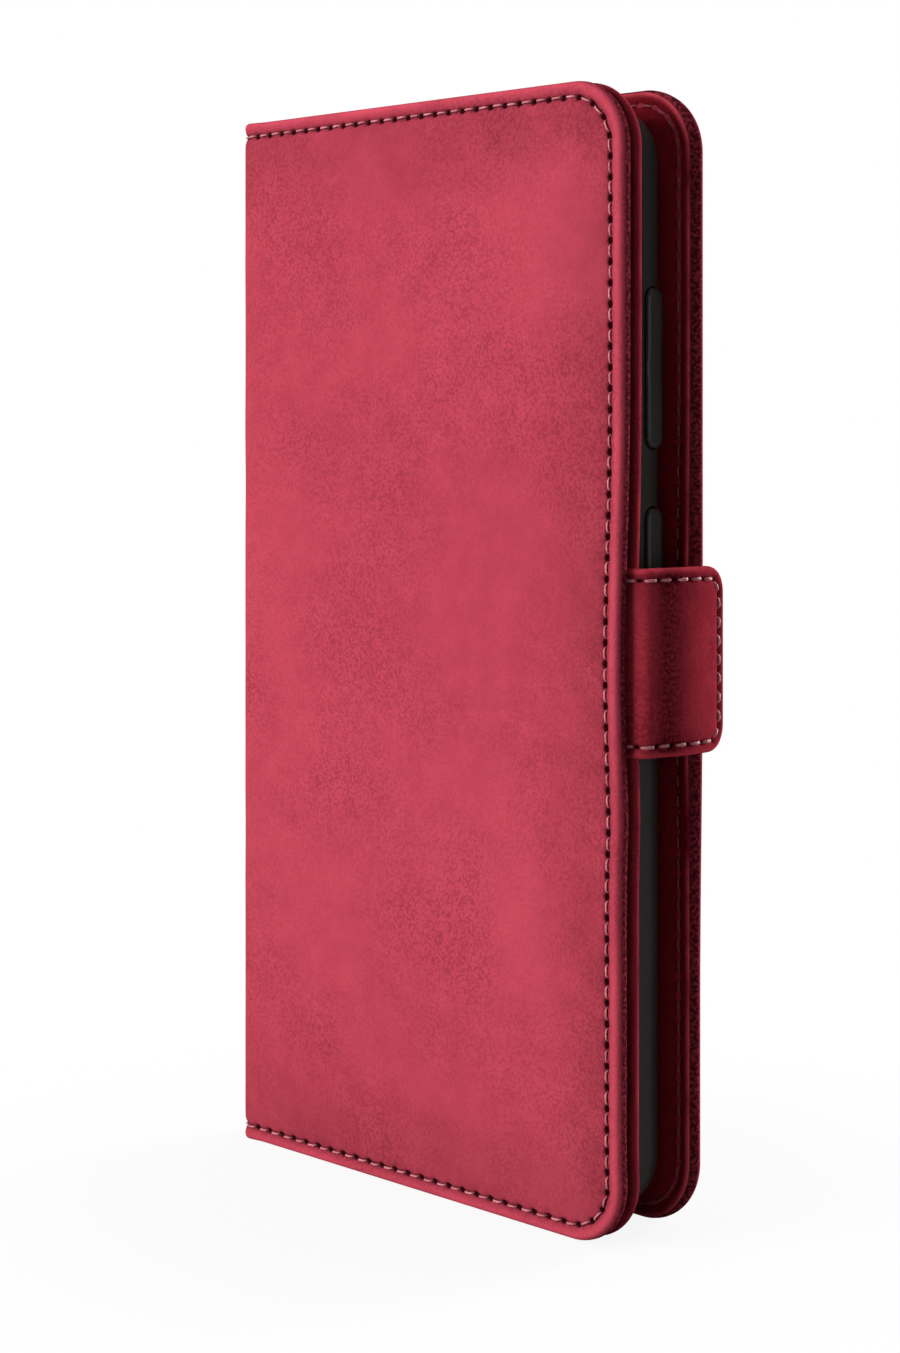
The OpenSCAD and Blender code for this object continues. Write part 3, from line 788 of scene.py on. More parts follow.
def thread_finish(name, pale, deep):
    """Waxed thread: a faint change of colour from stitch to stitch, and fine fibres."""
    material, tree, shader = new_material(name)
    shade = add_node(tree, "ShaderNodeAttribute", attribute_name="stitch").outputs["Fac"]
    where = add_node(tree, "ShaderNodeTexCoord").outputs["Object"]
    fibre = add_node(tree, "ShaderNodeTexNoise", [("Vector", where), ("Scale", 9000.0), ("Detail", 3.0)])
    mixed = add_node(tree, "ShaderNodeMath", [(0, shade), (1, fibre.outputs["Fac"])], operation="MULTIPLY")
    colour = add_node(
        tree, "ShaderNodeMix", [(0, mixed.outputs["Value"]), (6, (*deep, 1)), (7, (*pale, 1))],
        data_type="RGBA"
    )
    tree.links.new(colour.outputs[2], shader.inputs["Base Color"])
    rough = add_node(tree, "ShaderNodeMapRange",
        [("Value", fibre.outputs["Fac"]), ("To Min", 0.4), ("To Max", 0.7)])
    tree.links.new(rough.outputs["Result"], shader.inputs["Roughness"])
    shader.inputs["Sheen Weight"].default_value = 0.25
    bump = add_node(tree, "ShaderNodeBump",
        [("Strength", 0.5), ("Distance", 0.00004), ("Height", fibre.outputs["Fac"])])
    tree.links.new(bump.outputs["Normal"], shader.inputs["Normal"])
    return material


pink_thread = thread_finish("pink_thread", (0.74, 0.25, 0.28), (0.36, 0.05, 0.07))
thread_r = 0.15


def stitches(name, material, place, holes, sides, depth, seed=1, radius=thread_r, dip=0.6, slant=0.08):
    """A row of machine stitches from hole to hole: short three-ply tubes, each with its ends in its holes."""
    rings, around = 11, 12
    rng = np.random.default_rng(seed)
    spots, faces, shades, marks = [], [], [], []
    t = np.linspace(0, 1, rings)
    angle = np.arange(around) * math.tau / around
    for k in range(len(holes) - 1):
        a, b = holes[k], holes[k + 1]
        lean = slant * (0.5 - t)[:, None] * sides[k] + rng.normal(0, 0.03, 2)
        flat = a + (b - a) * (0.19 + 0.62 * t)[:, None] + lean
        bury = dip * np.abs(2 * t - 1) ** 5
        deep = depth(flat[:, 0], flat[:, 1]) + bury
        centre = place(flat[:, 0], flat[:, 1], deep)
        up = place(flat[:, 0], flat[:, 1], deep - 0.05) - centre
        up /= np.linalg.norm(up, axis=1)[:, None]
        along = np.gradient(centre, axis=0)
        along /= np.linalg.norm(along, axis=1)[:, None]
        side = np.cross(along, up)
        side /= np.linalg.norm(side, axis=1)[:, None]
        up = np.cross(side, along)
        ply = 1 + 0.13 * np.cos(3 * (angle[None] - 4.5 * t[:, None] + k))
        swell = radius * (0.72 + 0.28 * np.sin(math.pi * t) ** 0.5)[:, None] * ply
        tube = centre[:, None] + side[:, None] * (np.cos(angle) * swell)[:, :, None] + up[:,
            None] * (0.85 * np.sin(angle) * swell)[:, :, None]
        base = len(spots)
        spots.extend(tube.reshape(-1, 3))
        shades.extend([rng.uniform(0.55, 1.6)] * (rings * around))
        for i in range(rings - 1):
            for j in range(around):
                n = (j + 1) % around
                faces.append(
                    (base + i * around + j, base + i * around + n, base + (i + 1) * around + n,
                        base + (i + 1) * around + j))
        faces.append(tuple(base + j for j in reversed(range(around))))
        faces.append(tuple(base + (rings - 1) * around + j for j in range(around)))
    mesh = bpy.data.meshes.new(name)
    mesh.from_pydata([tuple(p) for p in np.array(spots) * MM], [], faces)
    mesh.polygons.foreach_set("use_smooth", [True] * len(mesh.polygons))
    layer = mesh.attributes.new("stitch", "FLOAT", "POINT")
    layer.data.foreach_set("value", np.array(shades, np.float32))
    made = bmesh.new()
    made.from_mesh(mesh)
    bmesh.ops.recalc_face_normals(made, faces=made.faces)
    made.to_mesh(mesh)
    made.free()
    mesh.materials.append(material)
    piece = bpy.data.objects.new(name, mesh)
    bpy.context.scene.collection.objects.link(piece)
    return piece


def needle_holes(line, inset):
    points, sides = line
    return (points + sides * inset)[::columns], sides[::columns]


front_thread = stitches(
    "front_cover_thread", pink_thread, wrap_front,
    *needle_holes(cover_line(0, corner_r, cover_len), stitch_in),
    lambda u, z: np.full(len(u), 0.10), seed=3,
)
bend_over_front_fold(front_thread)
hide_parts("front_cover_stitching")
back_thread = stitches(
    "back_cover_thread", pink_thread, wrap_back, *needle_holes(cover_line(0, corner_r, cover_len), stitch_in),
    lambda u, z: np.full(len(u), 0.10), seed=4,
)
bend_over_back_fold(back_thread)
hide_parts("back_cover_stitching", "spine_stitching")

# ---------- linings ----------
# A smooth dark lining is glued over the hem and the boards, and runs on across the inside of the
# spine. Its edge stops just short of the turned leather, and the cover's stitching goes through it.
lining_in = 0.4
lining_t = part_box("back_lining")[1].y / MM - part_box("back_lining")[0].y / MM
lining_face_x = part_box("spine_lining")[1].x / MM
back_lining_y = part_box("back_lining")[0].y / MM
front_lining_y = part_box("front_lining")[1].y / MM
middle_y = (front_y + back_y) / 2
lining_r = 1.2
lining_fold = lining_r * math.pi / 2


def lining_wrap(u, d, half):
    """Distances from the spine lining's face and from the cover lining's face, inside the fold."""
    turn = np.clip((u - half) / lining_r, 0, math.pi / 2)
    on_spine, on_cover = u < half, u > half + lining_fold
    across = np.where(on_spine, -d, lining_r - (lining_r + d) * np.cos(turn))
    down = np.where(on_spine, lining_r + half - u, lining_r - (lining_r + d) * np.sin(turn))
    across = np.where(on_cover, lining_r + u - half - lining_fold, across)
    return across, np.where(on_cover, -d, down)


back_half = back_lining_y - lining_r - middle_y
front_half = middle_y - front_lining_y - lining_r


def wrap_back_lining(u, z, d):
    across, down = lining_wrap(u, d, back_half)
    x = lining_face_x + across
    drift = 0.1 * smooth_step(strap_z, 25, z) * smooth_step(open_x - 30, open_x, x)
    bow = 0.55 * np.exp(-(((z - strap_z) / 24.0) ** 2)) * smooth_step(open_x - 7, open_x, x)
    return np.column_stack((x, back_lining_y - down - drift - bow, z))


def wrap_front_lining(u, z, d):
    across, down = lining_wrap(u, d, front_half)
    x = lining_face_x + across
    return np.column_stack((x, front_lining_y + down - 0.8 * front_swell(x, z), z))


def over_cover(u):
    return smooth_step(back_half + lining_fold + 1, back_half + lining_fold + 5, u)


def lining_relief(u, z, inset, along, share):
    face = smooth_step(0.6, 0.0, share) * smooth_step(0.25, 0.9, inset)
    across = inset - (stitch_in - lining_in)
    channel = np.exp(-((across / 0.36) ** 2))
    hole = np.exp(-((along / 0.36) ** 2) - (across / 0.33) ** 2)
    wave = 0.05 * soft_waves(u, z, 5, 30.0) * smooth_step(3, 12, inset) * smooth_step(0, 20, u)
    depth = share * lining_t + 0.42 * smooth_step(4.5, 1.5,
        inset) * over_cover(u) + face * (
            0.12 * channel + 0.06 * np.exp(-((across / 1.0) ** 2)) + 0.25 * hole + wave)
    # Painted shade in the stitch channel, partly compressed leather, and in the needle holes; a painted
    # highlight on the lining's edge, partly scuffing.
    return depth, {
        "pressed": np.clip(face * 0.8 * channel, 0, 1),
        "pierced": face * hole,
        "rubbed": 1.3 * smooth_step(0.9, 0.1, inset) * smooth_step(1.0, 0.6, share),
        "near_edge": smooth_step(8, 0, inset),
    }


lining_edge = [(1.2, 1), (0.5, 1), (0.15, 0.98), (0.03, 0.85), (0, 0.6), (0.02, 0.36), (0.09, 0.16),
    (0.22, 0.04), (0.4, 0)]
lining_face = [(s, 0) for s in (0.7, 1.1, 1.4, 1.6, 1.75, 1.9, 2.05, 2.2, 2.4, 2.7, 3.2, 4.0, 5.2, 6.6)]


def lining_line(half):
    length = half + lining_fold + (open_x - lining_in - lining_face_x - lining_r)
    corners = [(0, case_h - lining_in, 0), (length, case_h - lining_in, corner_r - lining_in),
               (length, lining_in, corner_r - lining_in), (0, lining_in, 0)]
    return rounded_line(corners, stitch_in - lining_in, stitch_pitch, columns)


# Its lighter edge colour is a painted highlight on the lining's edge, partly scuffing.
lining_red = leather_finish("lining_red", (0.27, 0.013, 0.024), (0.21, 0.008, 0.015), rough=(0.5, 0.66),
    rubbed=(0.62, 0.07, 0.10))


def lining_folds(half):
    return tuple(half + lining_fold * k / 5 for k in range(6))


def lining_window():
    """The window's outline in the back lining, a little wider than in the skin."""
    (x0, z0), (x1, z1) = window_lo, window_hi
    shift = back_half + lining_fold - lining_face_x - lining_r
    corners = [(x0 + shift, z1, window_r), (x1 + shift, z1, window_r), (x1 + shift, z0, window_r),
        (x0 + shift, z0, window_r)]
    return rounded_line(corners, 0, 0.5, 1, closed=True)


lining_window_edge = [(0.0, 1), (0.0, 0.6), (0.03, 0.3), (0.12, 0.08), (0.3, 0), (1.0, 0), (2.2, 0)]
back_lining_piece = panel(
    "back_cover_lining", lining_red, wrap_back_lining, lining_relief, lining_line(back_half),
    lining_edge + lining_face, hole=(lining_window(), lining_window_edge), folds=lining_folds(back_half),
)
add_thickness(back_lining_piece, 0.3)
bend_over_back_fold(back_lining_piece)
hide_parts("back_lining", "spine_lining")
front_lining_piece = panel(
    "front_cover_lining", lining_red, wrap_front_lining, lining_relief, lining_line(front_half),
    lining_edge + lining_face, folds=lining_folds(front_half),
)
add_thickness(front_lining_piece, 0.3)
bend_over_front_fold(front_lining_piece)
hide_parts("front_lining")

dark_thread = thread_finish("dark_thread", (0.30, 0.035, 0.05), (0.12, 0.010, 0.016))
inner_thread = stitches(
    "back_lining_thread", dark_thread, wrap_back_lining,
    *needle_holes(lining_line(back_half), stitch_in - lining_in), lambda u, z: 0.36 * over_cover(u), seed=6,
)
bend_over_back_fold(inner_thread)

# ---------- cash pocket and card pockets ----------
# Four thin leather panels, stepped back one behind the next so that each shows its turned mouth.
# The top one is wrapped round the others' edges, and all are sewn in with the front cover.
pocket_nodes = ("cash_pocket_panel", "card_pocket_1", "card_pocket_2", "card_pocket_3")
pocket_corner = corner_r - lining_in
rim_t = 1.3
rim_back = 0.75
rim_raise = 0.25
rim_reach = 0.35
mouth_r = 0.6


def ease_corners(line, corners, reach):
    """Draws a line's inward rings together at its small corners, so that they don't cross there."""
    points, sides = line
    for corner in corners:
        room = np.linalg.norm(points - np.array(corner), axis=1)
        sides = sides * np.minimum(1, 0.95 * room / reach)[:, None]
    return points, sides


def pocket_panel(node, order):
    """One pocket panel: its mouth faces the spine, and its other three sides reach the cover's edge."""
    low, high = (tuple(v / MM for v in corner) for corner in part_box(node))
    thick = high[1] - low[1] - 0.04
    on_top = order == len(pocket_nodes) - 1
    back = -rim_reach if on_top else rim_back
    x_hi, z_lo, z_hi = high[0] - back, low[2] + back, high[2] - back
    corners = [(low[0], z_hi, mouth_r), (x_hi, z_hi, pocket_corner - back),
        (x_hi, z_lo, pocket_corner - back),
               (low[0], z_lo, mouth_r)]

    def place(u, z, d):
        return np.column_stack((u, high[1] - d - 0.8 * front_swell(u, z), z))

    def relief(u, z, inset, along, share):
        sewn = smooth_step(low[0] + 2.0, low[0] + 5.0, u)
        rim = (rim_t - thick) * smooth_step(3.6, 1.5, inset) * sewn if on_top else 0
        proud = rim_raise * smooth_step(3.2, 1.4, inset) * sewn if on_top else 0
        face = smooth_step(0.6, 0.0, share) * smooth_step(0.25, 0.9, inset)
        across = inset - (stitch_in - lining_in - back)
        channel = np.exp(-((across / 0.36) ** 2)) * sewn
        mouth = (1 - sewn) * np.exp(-(((inset - 1.5) / 0.22) ** 2))
        press = face * (0.10 * channel + 0.09 * mouth) * (1 if on_top else 0.5)
        depth = share * (thick + rim + proud) - proud + press
        # Painted shade in the stitch channel and the mouth's crease, partly compressed leather; a painted
        # highlight on the edge crest, partly scuffing.
        return depth, {
            "pressed": np.clip(face * (0.8 * channel + 0.6 * mouth), 0, 1),
            "pierced": 0 * face,
            "rubbed": smooth_step(0.9, 0.2, inset) * smooth_step(1.0, 0.3, share),
            "near_edge": smooth_step(8, 0, inset),
        }

    rounding = [(4.2, 1), (2.6, 1), (1.4, 1), (0.7, 1), (0.35, 0.97), (0.12, 0.88), (0.02, 0.74), (0, 0.52),
                (0.02, 0.33), (0.1, 0.16), (0.25, 0.05), (0.45, 0)]
    face = [(s, 0) for s in (0.8, 1.15, 1.4, 1.6, 1.75, 1.9, 2.05, 2.2, 2.4, 2.8, 3.4, 4.2)]
    piece = panel(
        node + "_leather", pocket_leather, place, relief,
        ease_corners(rounded_line(corners, stitch_in - lining_in - back, stitch_pitch, columns, closed=True),
                     ((low[0], z_hi), (low[0], z_lo)), face[-1][0]),
        rounding + face, closed=True, caps=(True, True), gap=3.0,
    )
    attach(piece, "front_cover")
    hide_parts(node)
    return low[0], high[1], place


pocket_leather = leather_finish("pocket_leather", (0.36, 0.030, 0.050), (0.22, 0.014, 0.026))
steps = [pocket_panel(node, order) for order, node in enumerate(pocket_nodes)]
mouths = np.array([s[0] for s in steps])
levels = np.array([s[1] for s in steps])
top_place = steps[-1][2]


def leaf_line():
    """The open side's seam on the inner face, from the cash pocket's mouth round and back."""
    x_hi, z_lo, z_hi = open_x - lining_in, lining_in, case_h - lining_in
    corners = [(mouths[0] + 2.5, z_hi, 0), (x_hi, z_hi, pocket_corner), (x_hi, z_lo, pocket_corner),
        (mouths[0] + 2.5, z_lo, 0)]
    return rounded_line(corners, stitch_in - lining_in, stitch_pitch, columns)


def pocket_depth(u, z):
    """Depth of the panel that shows at u, below the top pocket's face."""
    on_rim = np.minimum(np.minimum(z, case_h - z), open_x - u) < 3.0
    return levels[-1] - levels[
        np.clip(np.searchsorted(mouths, u) - 1, 0, len(levels) - 1)] - 0.06 - 0.12 * on_rim


leaf_thread = stitches(
    "pocket_leaf_thread", dark_thread, top_place, *needle_holes(leaf_line(), stitch_in - lining_in),
    pocket_depth, seed=8
)
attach(leaf_thread, "front_cover")
seam_lo, seam_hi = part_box("card_pocket_stitching")
seam_count = round((seam_hi.x - mouths[1] * MM) / MM / stitch_pitch)
seam_x = np.linspace(mouths[1] + 0.8, seam_hi.x / MM, seam_count + 1)
for label, seam_z in (("lower", seam_lo.z / MM + 0.3), ("upper", seam_hi.z / MM - 0.3)):
    holes = np.column_stack((seam_x, np.full(len(seam_x), seam_z)))
    seam = stitches(
        f"card_seam_{label}", dark_thread, top_place, holes, np.tile((0.0, 1.0), (len(holes), 1)),
        pocket_depth, seed=9
    )
    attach(seam, "front_cover")
    if label == "lower":
        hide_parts("card_pocket_stitching")

# ---------- closing strap ----------
# Two layers of leather glued over a stiffener and a magnet, turned at the edges and sewn all round.
# Its root is sewn in between the front cover's layers, and it curves out and back over the phone.
strap_lo, strap_hi = (tuple(v / MM for v in corner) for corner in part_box("strap_outer_skin"))
root_lo, root_hi = (tuple(v / MM for v in corner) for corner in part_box("strap_root"))
strap_t = strap_hi[0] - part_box("strap_inner_skin")[0].x / MM
root_t = root_hi[1] - root_lo[1]
bend_r = 1.9
blade_x = strap_hi[0] - strap_t / 2
root_y = (root_lo[1] + root_hi[1]) / 2
bend_x, bend_y = blade_x - bend_r, root_y + bend_r
root_run = bend_x - root_lo[0]
bend_run = bend_r * math.pi / 2
strap_len = root_run + bend_run + strap_hi[1] - bend_y
strap_end_r = 4.0
strap_stitch_in = 1.7
strap_pitch = 2.7
strap_bulge = 1.3


def strap_thickness(v):
    return root_t + (strap_t - root_t) * smooth_step(root_run - 0.6, root_run + bend_run + 0.4, v)


def wrap_strap(v, z, d):
    """v runs from the root's end, along the root, round the bend and along the blade."""
    turn = np.clip((v - root_run) / bend_r, 0, math.pi / 2)
    out = strap_thickness(v) / 2 - d
    x = np.where(v < root_run, root_lo[0] + v, bend_x + (bend_r + out) * np.sin(turn))
    y = np.where(v < root_run, root_y - out, bend_y - (bend_r + out) * np.cos(turn))
    on_blade = v > root_run + bend_run
    run = np.clip((v - root_run - bend_run) / (strap_len - root_run - bend_run), 0, 1)
    bulge = strap_bulge * (0.35 + 0.65 * np.clip(0.5 + out / strap_thickness(v), 0, 1)) * smooth_step(0, 0.3,
        run)
    lean = bulge * math.pi * np.cos(math.pi * run) / (strap_len - root_run - bend_run)
    x = np.where(on_blade, blade_x + bulge * np.sin(math.pi * run) + out, x)
    y = np.where(on_blade, bend_y + v - root_run - bend_run - out * lean, y)
    return np.column_stack((x, y, z))


def strap_relief(v, z, inset, along, share):
    face = smooth_step(0.5, 0.0, share) * smooth_step(0.3, 1.0, inset)
    back = smooth_step(0.6, 1.0, share) * smooth_step(0.3, 1.0, inset)
    across = inset - strap_stitch_in
    channel = np.exp(-((across / 0.33) ** 2))
    hole = np.exp(-((along / 0.34) ** 2) - (across / 0.32) ** 2)
    press = 0.17 * channel + 0.12 * np.exp(-((across / 0.9) ** 2)) + 0.34 * hole
    wave = 0.05 * soft_waves(v, z, 31, 14.0) * smooth_step(2, 5, inset)
    magnet = -0.06 * np.exp(-(((v - strap_len + 7.4) / 2.6) ** 4)) * np.exp(-(((z - strap_z) / 8.0) ** 4)) * (
        inset > 5)
    depth = share * strap_thickness(v) + face * (press + wave + magnet + 0.05) - back * (press * 0.6 + 0.05)
    # Painted shade in the stitch channel, partly compressed leather, and a band of painted shade just past
    # the bend; painted shade in the needle holes; a painted highlight on the edges, partly scuffing.
    return depth, {
        "pressed": np.clip((face + back) * (0.4 * np.exp(-((across / 0.8) ** 2)) + 0.5 * channel)
                           + np.exp(-(((v - root_run - bend_run - 2.6) / 2.4) ** 2)), 0, 1.1),
        "pierced": (face + back) * hole,
        "rubbed": smooth_step(1.0, 0.3, inset),
        "near_edge": smooth_step(10, 0, inset),
    }


strap_corners = [
    (0, strap_hi[2], 1.0), (strap_len, strap_hi[2], strap_end_r), (strap_len, strap_lo[2], strap_end_r),
    (0, strap_lo[2], 1.0)
]
strap_line = rounded_line(strap_corners, strap_stitch_in, strap_pitch, columns, closed=True)
strap_edge = [(3.9, 1), (2.9, 1), (2.4, 1), (2.05, 1), (1.85, 1), (1.7, 1), (1.55, 1), (1.3, 1), (0.95, 1),
    (0.6, 0.98),
              (0.32, 0.92), (0.13, 0.81), (0.03, 0.68), (0, 0.5), (0.03, 0.32), (0.13, 0.19), (0.32, 0.08),
              (0.6, 0.02)]
strap_face = [(s, 0) for s in (0.95, 1.2, 1.38, 1.5, 1.6, 1.7, 1.8, 1.9, 2.02, 2.2, 2.5, 3.1, 3.9)]
strap_leather = leather_finish("strap_leather", (0.47, 0.040, 0.064), (0.34, 0.022, 0.038),
    rough=(0.40, 0.56))
strap = panel(
    "closing_strap", strap_leather, wrap_strap, strap_relief, strap_line, strap_edge + strap_face,
    closed=True, caps=(True, True), gap=1.2, pitch=strap_pitch,
    folds=tuple(root_run + bend_run * k / 6 for k in range(7)),
)
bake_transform(strap)
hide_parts("strap_root", "strap_outer_skin", "strap_inner_skin")
strap_holes, strap_sides = needle_holes(strap_line, strap_stitch_in)
sewn = strap_holes[:, 0] > strap_stitch_in + 0.5
strap_holes, strap_sides = strap_holes[sewn], strap_sides[sewn]
strap_thread = stitches(
    "strap_thread", pink_thread, wrap_strap, strap_holes, strap_sides, lambda u, z: np.full(len(u), 0.10),
    seed=12, radius=0.24, dip=0.6,
)
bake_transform(strap_thread)
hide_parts("strap_stitching")
repaint(("strap_stiffener",), grey_board)

# ---------- magnet, catch plate and adhesive pad ----------
# A thin nickel-plated magnet is glued into the strap's end and meets a steel plate in the back
# cover. The shell is held to the back lining by a pad of double-sided foam tape.


def metal_finish(name, colour, rough, scratch):
    """Thin sheet metal with rolling marks along one way, and a slight change of gloss."""
    material, tree, shader = new_material(name)
    where = add_node(tree, "ShaderNodeTexCoord").outputs["Object"]
    drawn = add_node(tree, "ShaderNodeVectorMath", [(0, where), (1, (40.0, 1.0, 1.0))], operation="MULTIPLY")
    lines = add_node(tree, "ShaderNodeTexNoise",
        [("Vector", drawn.outputs["Vector"]), ("Scale", 260.0), ("Detail", 6.0)])
    shade = add_node(
        tree,
        "ShaderNodeMix",
        [(0, lines.outputs["Fac"]), (6, tuple(c * 0.8 for c in colour) + (1,)), (7, (*colour, 1))],
        data_type="RGBA",
    )
    tree.links.new(shade.outputs[2], shader.inputs["Base Color"])
    gloss = add_node(
        tree, "ShaderNodeMapRange",
        [("Value", lines.outputs["Fac"]), ("To Min", rough), ("To Max", rough + 0.15)]
    )
    tree.links.new(gloss.outputs["Result"], shader.inputs["Roughness"])
    shader.inputs["Metallic"].default_value = 1.0
    bump = add_node(tree, "ShaderNodeBump",
        [("Strength", scratch), ("Distance", 0.00003), ("Height", lines.outputs["Fac"])])
    tree.links.new(bump.outputs["Normal"], shader.inputs["Normal"])
    return material


repaint(("catch_plate",), metal_finish("rolled_steel", (0.55, 0.56, 0.58), 0.34, 0.4))
repaint(("strap_magnet",), metal_finish("nickel_plate", (0.62, 0.60, 0.57), 0.18, 0.15))
tape, tree, shader = new_material("foam_tape")
where = add_node(tree, "ShaderNodeTexCoord").outputs["Object"]
cells = add_node(tree, "ShaderNodeTexVoronoi", [("Vector", where), ("Scale", 2600.0)])
shade = add_node(
    tree, "ShaderNodeMix",
    [(0, cells.outputs["Distance"]), (6, (0.52, 0.52, 0.50, 1)), (7, (0.70, 0.70, 0.68, 1))],
    data_type="RGBA",
)
tree.links.new(shade.outputs[2], shader.inputs["Base Color"])
dull = add_node(tree, "ShaderNodeMapRange",
    [("Value", cells.outputs["Distance"]), ("To Min", 0.6), ("To Max", 0.9)])
tree.links.new(dull.outputs["Result"], shader.inputs["Roughness"])
bump = add_node(tree, "ShaderNodeBump",
    [("Strength", 0.3), ("Distance", 0.00005), ("Height", cells.outputs["Distance"])])
tree.links.new(bump.outputs["Normal"], shader.inputs["Normal"])
repaint(("shell_adhesive_pad",), tape)

# ---------- phone shell ----------
# A soft black shell, moulded in one piece with a rolled lip that snaps over the phone's front. It
# has a camera window in its back and cut-outs for the plug, the speaker and two microphones.
shell_lo, shell_hi = (tuple(v / MM for v in corner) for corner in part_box("phone_shell"))
shell_wall, shell_back, lip_over, lip_t = 1.6, 1.0, 0.8, 0.7
shell_edge_r, shell_corner_r, floor_r = 4.5, 8.5, 3.0
shell_depth = shell_hi[1] - shell_lo[1]
port_x = (shell_lo[0] + shell_hi[0]) / 2
port_y = -0.375


def arc(centre_s, centre_d, radius, start, end, count):
    """Profile points round part of a circle, by angles in degrees from the outward way to the back."""
    turns = np.radians(np.linspace(start, end, count))
    return [(centre_s - radius * math.cos(t), centre_d + radius * math.sin(t)) for t in turns]


inner_floor = shell_depth - shell_back
shell_profile = [(shell_wall + floor_r + 3.0, inner_floor)]
shell_profile += arc(shell_wall + floor_r, inner_floor - floor_r, floor_r, 90, 0, 8)
shell_profile += [(shell_wall, 4.0), (shell_wall, lip_t + 0.25), (shell_wall + 0.08, lip_t + 0.06),
    (shell_wall + 0.3, lip_t)]
shell_profile += [(shell_wall + lip_over - 0.3, lip_t - 0.02), (shell_wall + lip_over - 0.06, lip_t - 0.14),
                  (shell_wall + lip_over, lip_t / 2), (shell_wall + lip_over - 0.06, 0.14),
                  (shell_wall + lip_over - 0.3, 0.02), (shell_wall + 0.2, 0), (0.75, 0), (0.4, 0.06),
                  (0.16, 0.22),
                  (0.03, 0.5), (0, 0.9), (0, 2.6)]
shell_profile += arc(shell_edge_r, shell_depth - shell_edge_r, shell_edge_r, 0, 90, 12)
shell_profile += [(shell_edge_r + 2.0, shell_depth)]


def place_shell(u, z, d):
    return np.column_stack((u, shell_lo[1] + d, z))


def plain_relief(u, z, inset, along, share):
    return share, {}


def moulded_finish(name, colour, rough):
    """Soft moulded plastic: a fine matt texture, faint flow marks and handling gloss."""
    material, tree, shader = new_material(name)
    where = add_node(tree, "ShaderNodeTexCoord").outputs["Object"]
    flow = add_node(tree, "ShaderNodeTexNoise", [("Vector", where), ("Scale", 60.0), ("Detail", 4.0)])
    fine = add_node(tree, "ShaderNodeTexNoise", [("Vector", where), ("Scale", 5200.0), ("Detail", 2.0)])
    shade = add_node(
        tree,
        "ShaderNodeMix",
        [(0, flow.outputs["Fac"]), (6, tuple(c * 0.7 for c in colour) + (1,)),
            (7, tuple(c * 1.3 for c in colour) + (1,))],
        data_type="RGBA",
    )
    tree.links.new(shade.outputs[2], shader.inputs["Base Color"])
    gloss = add_node(
        tree, "ShaderNodeMapRange",
        [("Value", flow.outputs["Fac"]), ("To Min", rough - 0.06), ("To Max", rough + 0.08)]
    )
    tree.links.new(gloss.outputs["Result"], shader.inputs["Roughness"])
    bump = add_node(tree, "ShaderNodeBump",
        [("Strength", 0.25), ("Distance", 0.00003), ("Height", fine.outputs["Fac"])])
    tree.links.new(bump.outputs["Normal"], shader.inputs["Normal"])
    return material


def block(name, corners, low, high, axis):
    """A cutter: an outline (u, z, radius) drawn across the given axis and run from low to high."""
    points, _ = rounded_line(corners, 0, 0.35, 1, closed=True)
    count = len(points)
    spots = []
    for level in (low, high):
        spots += [tuple(np.insert(p, axis, level) * MM) for p in points]
    faces = [tuple(range(count)), tuple(reversed(range(count, 2 * count)))]
    faces += [(i, i + count, (i + 1) % count + count, (i + 1) % count) for i in range(count)]
    mesh = bpy.data.meshes.new(name)
    mesh.from_pydata(spots, [], faces)
    made = bmesh.new()
    made.from_mesh(mesh)
    bmesh.ops.recalc_face_normals(made, faces=made.faces)
    made.to_mesh(mesh)
    made.free()
    cutter = bpy.data.objects.new(name, mesh)
    bpy.context.scene.collection.objects.link(cutter)
    return cutter


def box_corners(u0, u1, z0, z1, radius):
    return [(u0, z1, radius), (u1, z1, radius), (u1, z0, radius), (u0, z0, radius)]


def cut(piece, cutters):
    """Cuts each outline through the piece, keeps the result as its mesh and removes the cutters."""
    for cutter in cutters:
        tool = piece.modifiers.new(cutter.name, "BOOLEAN")
        tool.object = cutter
        tool.solver = "EXACT"
    bpy.context.view_layer.update()
    ready = piece.evaluated_get(bpy.context.evaluated_depsgraph_get())
    finished = bpy.data.meshes.new_from_object(ready)
    piece.modifiers.clear()
    piece.data = finished
    for cutter in cutters:
        bpy.data.objects.remove(cutter)
    finished.set_sharp_from_angle(angle=math.radians(38))


black_shell = moulded_finish("black_shell", (0.027, 0.026, 0.0245), 0.40)
shell_corners = box_corners(shell_lo[0], shell_hi[0], shell_lo[2], shell_hi[2], shell_corner_r)
shell = panel(
    "soft_shell", black_shell, place_shell, plain_relief, rounded_line(shell_corners, 0, 0.8, 1, closed=True),
    shell_profile, closed=True, caps=(True, True), gap=4.0,
)
volume_lo, volume_hi = (tuple(v / MM for v in corner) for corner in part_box("volume_button_cover"))
power_lo, power_hi = (tuple(v / MM for v in corner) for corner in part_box("power_button_cover"))
gap_round = 0.25


def button_window(low, high):
    corners = box_corners(low[1] - gap_round, high[1] + gap_round, low[2] - gap_round, high[2] + gap_round,
                          (high[1] - low[1]) / 2 + gap_round - 0.01)
    return block("button_window", corners, shell_hi[0] - 3.0, shell_hi[0] + 2.0, 0)


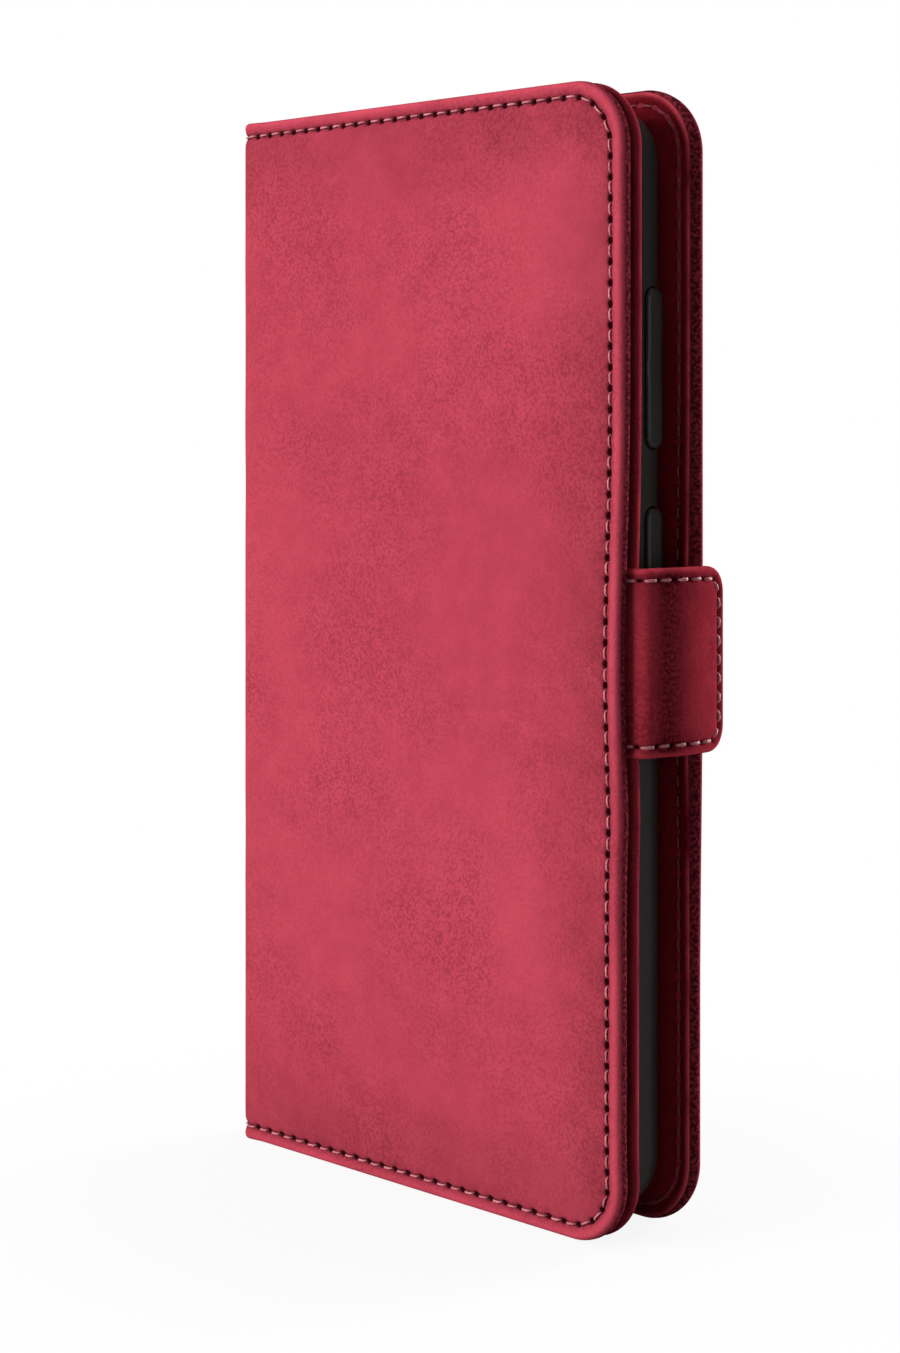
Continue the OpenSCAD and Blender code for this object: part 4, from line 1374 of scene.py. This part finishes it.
def bottom_slot(x, width, height, low, high):
    half_w, half_h = width / 2, height / 2
    corners = box_corners(x - half_w, x + half_w, port_y - half_h, port_y + half_h, half_h - 0.01)
    return block("slot", corners, low, high, 2)


camera_cut = block("camera_cut",
    box_corners(window_lo[0], window_hi[0], window_lo[1], window_hi[1], window_r), 1.0, 6.0, 1)
cut(shell, [
    camera_cut,
    button_window(volume_lo, volume_hi),
    button_window(power_lo, power_hi),
    bottom_slot(port_x, 14.0, 5.4, 0, 5.5),
    bottom_slot(port_x + 7.0 + 4.0 + 7.5, 15.0, 2.4, 0, 5.5),
    bottom_slot(-14.9, 2.42, 2.4, 0, 5.5),
    bottom_slot(port_x, 2.42, 2.4, case_h - 5.5, case_h),
])
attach(shell, "back_cover")
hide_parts("phone_shell")

# ---------- button covers ----------
# Two soft pads that stand out of the shell's side over the phone's buttons. The long one rocks
# between louder and quieter, so it has a shallow waist at its middle.


def button(name, node, body, low, high, waist):
    """A pill-shaped pad with a domed face, its length up the case."""
    middle = (low[2] + high[2]) / 2

    def place(u, z, d):
        return np.column_stack((high[0] - d, u, z))

    def relief(u, z, inset, along, share):
        crown = 0.10 * ((u - (low[1] + high[1]) / 2) / ((high[1] - low[1]) / 2)) ** 2
        pinch = waist * np.exp(-(((z - middle) / 1.6) ** 2))
        face = smooth_step(0.5, 0.0, share)
        return share + face * (crown + pinch), {}

    profile = [(0.4, high[0] - low[0]), (0.05, high[0] - low[0]), (0, high[0] - low[0] - 0.1), (0, 0.75),
        (0.02, 0.5),
               (0.09, 0.3), (0.2, 0.16), (0.36, 0.06), (0.56, 0.01), (0.8, 0), (1.1, 0)]
    corners = box_corners(low[1], high[1], low[2], high[2], (high[1] - low[1]) / 2 - 0.01)
    pad = panel(name, black_shell, place, relief, rounded_line(corners, 0, 0.22, 1, closed=True), profile,
        closed=True,
                caps=(True, True), gap=0.45)
    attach(pad, body)
    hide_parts(node)


button("volume_pad", "volume_button_cover", "volume_button", volume_lo, volume_hi, 0.12)
button("power_pad", "power_button_cover", "power_button", power_lo, power_hi, 0.0)
